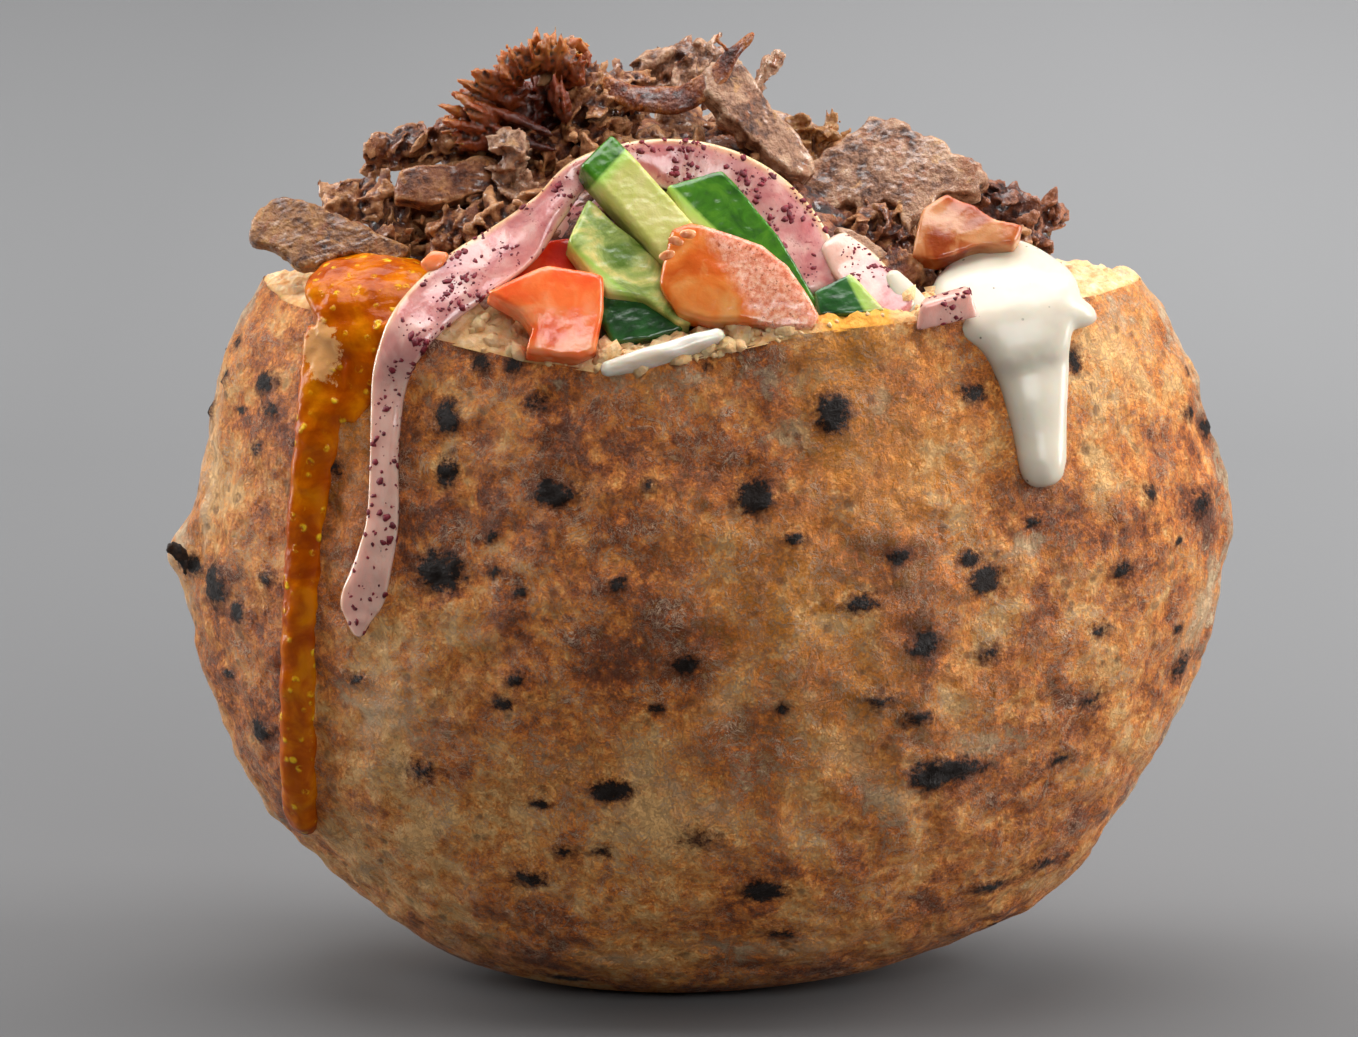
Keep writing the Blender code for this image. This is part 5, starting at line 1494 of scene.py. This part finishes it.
def sumac_look():
    made = Look("sumac", 0.5, Specular_IOR_Level=0.4)
    made.colour(made.ramp(made.noise(0.8, 3.0, 0.6), (0.35, (0.09, 0.004, 0.01)),
                          (0.65, (0.26, 0.014, 0.03))))
    made.bump(made.noise(0.3, 2.0, 0.6), 0.1)
    return made.material


def on_sumac(place, outward, draw):
    """Sumac lies thickest on the long strip's bend over the rim and on its arch."""
    if outward[1] > 0.2:
        return False
    if place[2] < 92:
        return draw.random() < 0.22
    return noise.noise(Vector(place) / 4.0) > draw.uniform(-0.25, 0.45)


def seed_look():
    made = Look("tomato_seed", 0.25, Subsurface_Weight=0.4, Subsurface_Scale=0.002, Coat_Weight=0.4)
    made.colour(made.ramp(made.noise(1.0, 2.0, 0.5), (0.35, (0.6, 0.2, 0.05)), (0.65, (0.8, 0.44, 0.2))))
    return made.material


def make_seeds(material):
    """Tomato seeds at the top left of the largest piece."""
    parts = []
    for k, (across, down) in enumerate(((676, 241), (688, 234), (667, 255))):
        place = on_plane(across, down, (-0.5, -31.6, 113.0), (0.0, -1.0, 0.0))
        parts.append(ball(place, (1.2, 0.45, 0.7), (0.2, 0.5 - 0.4 * k, 0.2), 90 + k, 3, 0.2))
    made = join("tomato_seeds", parts)
    return dress(made, material, "tomato")


def make_crumbs(crumb, material):
    def chosen(place, outward, draw):
        return place[1] < -20 and outward[2] > 0.1 and (-14 < place[0] < 16 or draw.random() < 0.25)
    made = flecks("bread_crumbs", [crumb], 320, 21, 0.9, 4.2, material, "bread_crust", 0.8, chosen)
    mark(made, "inwards", np.full(len(made.data.vertices), 0.5))
    return made


def char_look():
    made = Look("char", 0.55, Specular_IOR_Level=0.4)
    made.colour(made.ramp(made.noise(0.9, 4.0, 0.6), (0.4, (0.008, 0.007, 0.007)),
                          (0.75, (0.06, 0.03, 0.016))))
    made.bump(made.noise(0.5, 3.0, 0.6), 0.25)
    return made.material


def make_char_flakes(material):
    """The burst blister's burnt rim on the left."""
    loop = []
    for k, (across, down) in enumerate(((168, 547), (176, 551), (184, 560), (190, 573), (198, 580),
                                        (207, 588), (218, 598))):
        x, y, z = on_plane(across, down, (-74.0, -6.0 + 0.8 * k, 62.0), (0.0, -1.0, 0.0))
        loop.append((x, y, z, 1.5 + 0.4 * math.sin(k * 2.0) + 0.25 * k, 0.7, 0.0, -1.0, 0.2))
    strip = ribbon(loop, 60, 10, 0.8, 0.6, 3)
    made = remesh(join("burnt_flake", [strip]), 0.28, 1)
    torn_relief(made, (0.5, 0.0, -0.7), 61, 0.6, 0.3)
    dress(made, material, "bread_crust")


# Stage, lights and camera

FLOOR_RADIUS = 1700.0
BOWL_RADIUS = 600.0
BOWL_HEIGHT = 1600.0
BOWL_STEPS = 12
BOWL_SIDES = 96
# Each light's name, place and aim in metres, size and power
LIGHTS = (
    ("top", (0.0, -0.05, 0.95), (0.0, 0.0, 0.08), (0.8, 0.5), 7.0),
    ("left", (-0.75, 0.2, 0.3), (0.0, 0.0, 0.07), (0.3, 0.9), 8.0),
    ("right", (0.78, 0.02, 0.36), (0.0, 0.0, 0.07), (0.3, 0.9), 8.8),
    ("front", (0.3, -0.95, 0.6), (0.0, 0.0, 0.06), (0.5, 0.35), 4.3),
    ("behind", (0.0, 0.6, 1.3), (0.0, 1.0, 0.0), (1.6, 0.5), 14.0),
)
WORLD_COLOUR = (0.5, 0.5, 0.51, 1.0)
WORLD_STRENGTH = 0.13
CLIP_NEAR, CLIP_FAR = 0.05, 20.0


def stage_look():
    """A grey with painted shade that deepens towards the front and towards the left."""
    made = Look("backdrop", 0.65, Specular_IOR_Level=0.25)
    depth = made.add("ShaderNodeSeparateXYZ", "Y", {"Vector": made.place})
    across = made.add("ShaderNodeSeparateXYZ", "X", {"Vector": made.place})
    # Painted shade: the grey darkens towards the front
    colour = made.ramp(made.range(depth, -0.35, 1.3), (0.0, (0.11, 0.109, 0.11)),
                       (0.2, (0.155, 0.154, 0.155)), (0.45, (0.24, 0.24, 0.243)),
                       (1.0, (0.56, 0.56, 0.567)))
    # Painted shade: darker towards the left
    made.colour(made.mix(made.range(across, 0.14, -0.14, 0.0, 0.27), colour, (0.05, 0.05, 0.051)))
    return made.material


def make_stage(material):
    """A round floor that curves up into a wall on every side."""
    profile = [(0.1, 0.0), (300.0, 0.0), (800.0, 0.0), (FLOOR_RADIUS, 0.0)]
    for k in range(1, BOWL_STEPS + 1):
        turn = math.pi / 2 * k / BOWL_STEPS
        profile.append((FLOOR_RADIUS + BOWL_RADIUS * math.sin(turn), BOWL_RADIUS * (1 - math.cos(turn))))
    profile.append((FLOOR_RADIUS + BOWL_RADIUS, BOWL_HEIGHT))
    points = [(r * math.cos(a), r * math.sin(a), z) for r, z in profile
              for a in np.linspace(0, 2 * math.pi, BOWL_SIDES, endpoint=False)]
    faces = [tuple(reversed(face)) for face in grid_faces(len(profile), BOWL_SIDES)]
    made = mesh_object("backdrop", points, faces, material)


def area_light(name, place, aim, size, power):
    light = bpy.data.lights.new(name, "AREA")
    light.shape = "RECTANGLE"
    light.size, light.size_y = size
    light.energy = power
    made = bpy.data.objects.new(name, light)
    made.location = place
    made.rotation_euler = (Vector(aim) - Vector(place)).to_track_quat("-Z", "Y").to_euler()
    bpy.context.scene.collection.objects.link(made)


def light_up():
    for row in LIGHTS:
        area_light(*row)
    world = bpy.data.worlds.new("studio")
    world.use_nodes = True
    world.node_tree.nodes["Background"].inputs["Color"].default_value = WORLD_COLOUR
    world.node_tree.nodes["Background"].inputs["Strength"].default_value = WORLD_STRENGTH
    bpy.context.scene.world = world
    bpy.context.scene.view_settings.view_transform = "Standard"


def make_camera():
    camera = bpy.data.cameras.new("camera")
    camera.lens = LENS
    camera.sensor_width = SENSOR
    camera.clip_start, camera.clip_end = CLIP_NEAR, CLIP_FAR
    made = bpy.data.objects.new("camera", camera)
    made.location = Vector(EYE) * MM
    made.rotation_euler = (math.pi / 2 - ELEVATION, 0.0, 0.0)
    bpy.context.scene.collection.objects.link(made)
    bpy.context.scene.camera = made


def cover_cad_nodes(material):
    """The two shavings at the back keep their place: finer pieces stand for them."""
    for name, seed, way in (("meat_slice_back_left", 41, (0.9, 0.1, 0.25)),
                            ("meat_slice_back_right", 47, (0.92, -0.1, -0.25))):
        source = bpy.data.objects.get(name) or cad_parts[name]
        made = bpy.data.objects.new("shaving_" + name[11:], source.data.copy())
        bpy.context.scene.collection.objects.link(made)
        remesh(made, 0.42, 6)
        torn_relief(made, way, seed, 0.7, 0.3, 5.0)
        dress(made, material, "meat_shaved", name)


def main():
    make_camera()
    light_up()
    make_stage(stage_look())
    crumb_material = crumb_look()
    make_crust(crust_look())
    crumb = make_crumb(crumb_material)
    meats = {
        "brown": meat_look("meat_brown", (0.085, 0.02, 0.006), (0.26, 0.085, 0.028), (0.54, 0.26, 0.11)),
        "pale": meat_look("meat_pale", (0.17, 0.065, 0.028), (0.36, 0.175, 0.095), (0.56, 0.34, 0.21), 0.36,
                          0.6, 0.12, 0.34),
        "dark": meat_look("meat_dark", (0.035, 0.008, 0.004), (0.13, 0.032, 0.012), (0.36, 0.13, 0.055),
                          0.34, 0.5),
        "amber": meat_look("meat_amber", (0.12, 0.036, 0.006), (0.26, 0.1, 0.024), (0.44, 0.21, 0.066),
                           0.34, 0.5, 0.2, 0.34),
    }
    # The mound takes the darkest meat: painted shade where it shows in the gaps between the shreds
    core = make_heap_core(meats["dark"])
    make_shreds("meat_shreds_front", core, 3, 64, 8.0, 16.0, meats["brown"], True)
    make_shreds("meat_shreds_back", core, 4, 80, 8.0, 18.0, meats["brown"], False)
    make_meat(meats, fatty_look())
    make_crisp_strip(meat_look("meat_strip", (0.05, 0.008, 0.002), (0.17, 0.03, 0.006), (0.42, 0.14, 0.03),
                               0.26, 0.5, 0.3))
    cover_cad_nodes(meats["pale"])
    make_cucumbers()
    make_tomatoes()
    onions = make_onions()
    make_mango(mango_look())
    make_sesame(sesame_look())
    flecks("sumac", onions, 900, 8, 0.25, 1.3, sumac_look(), "onion_pickled", 0.3, on_sumac)
    make_crumbs(crumb, crumb_material)
    make_seeds(seed_look())
    make_char_flakes(char_look())


main()
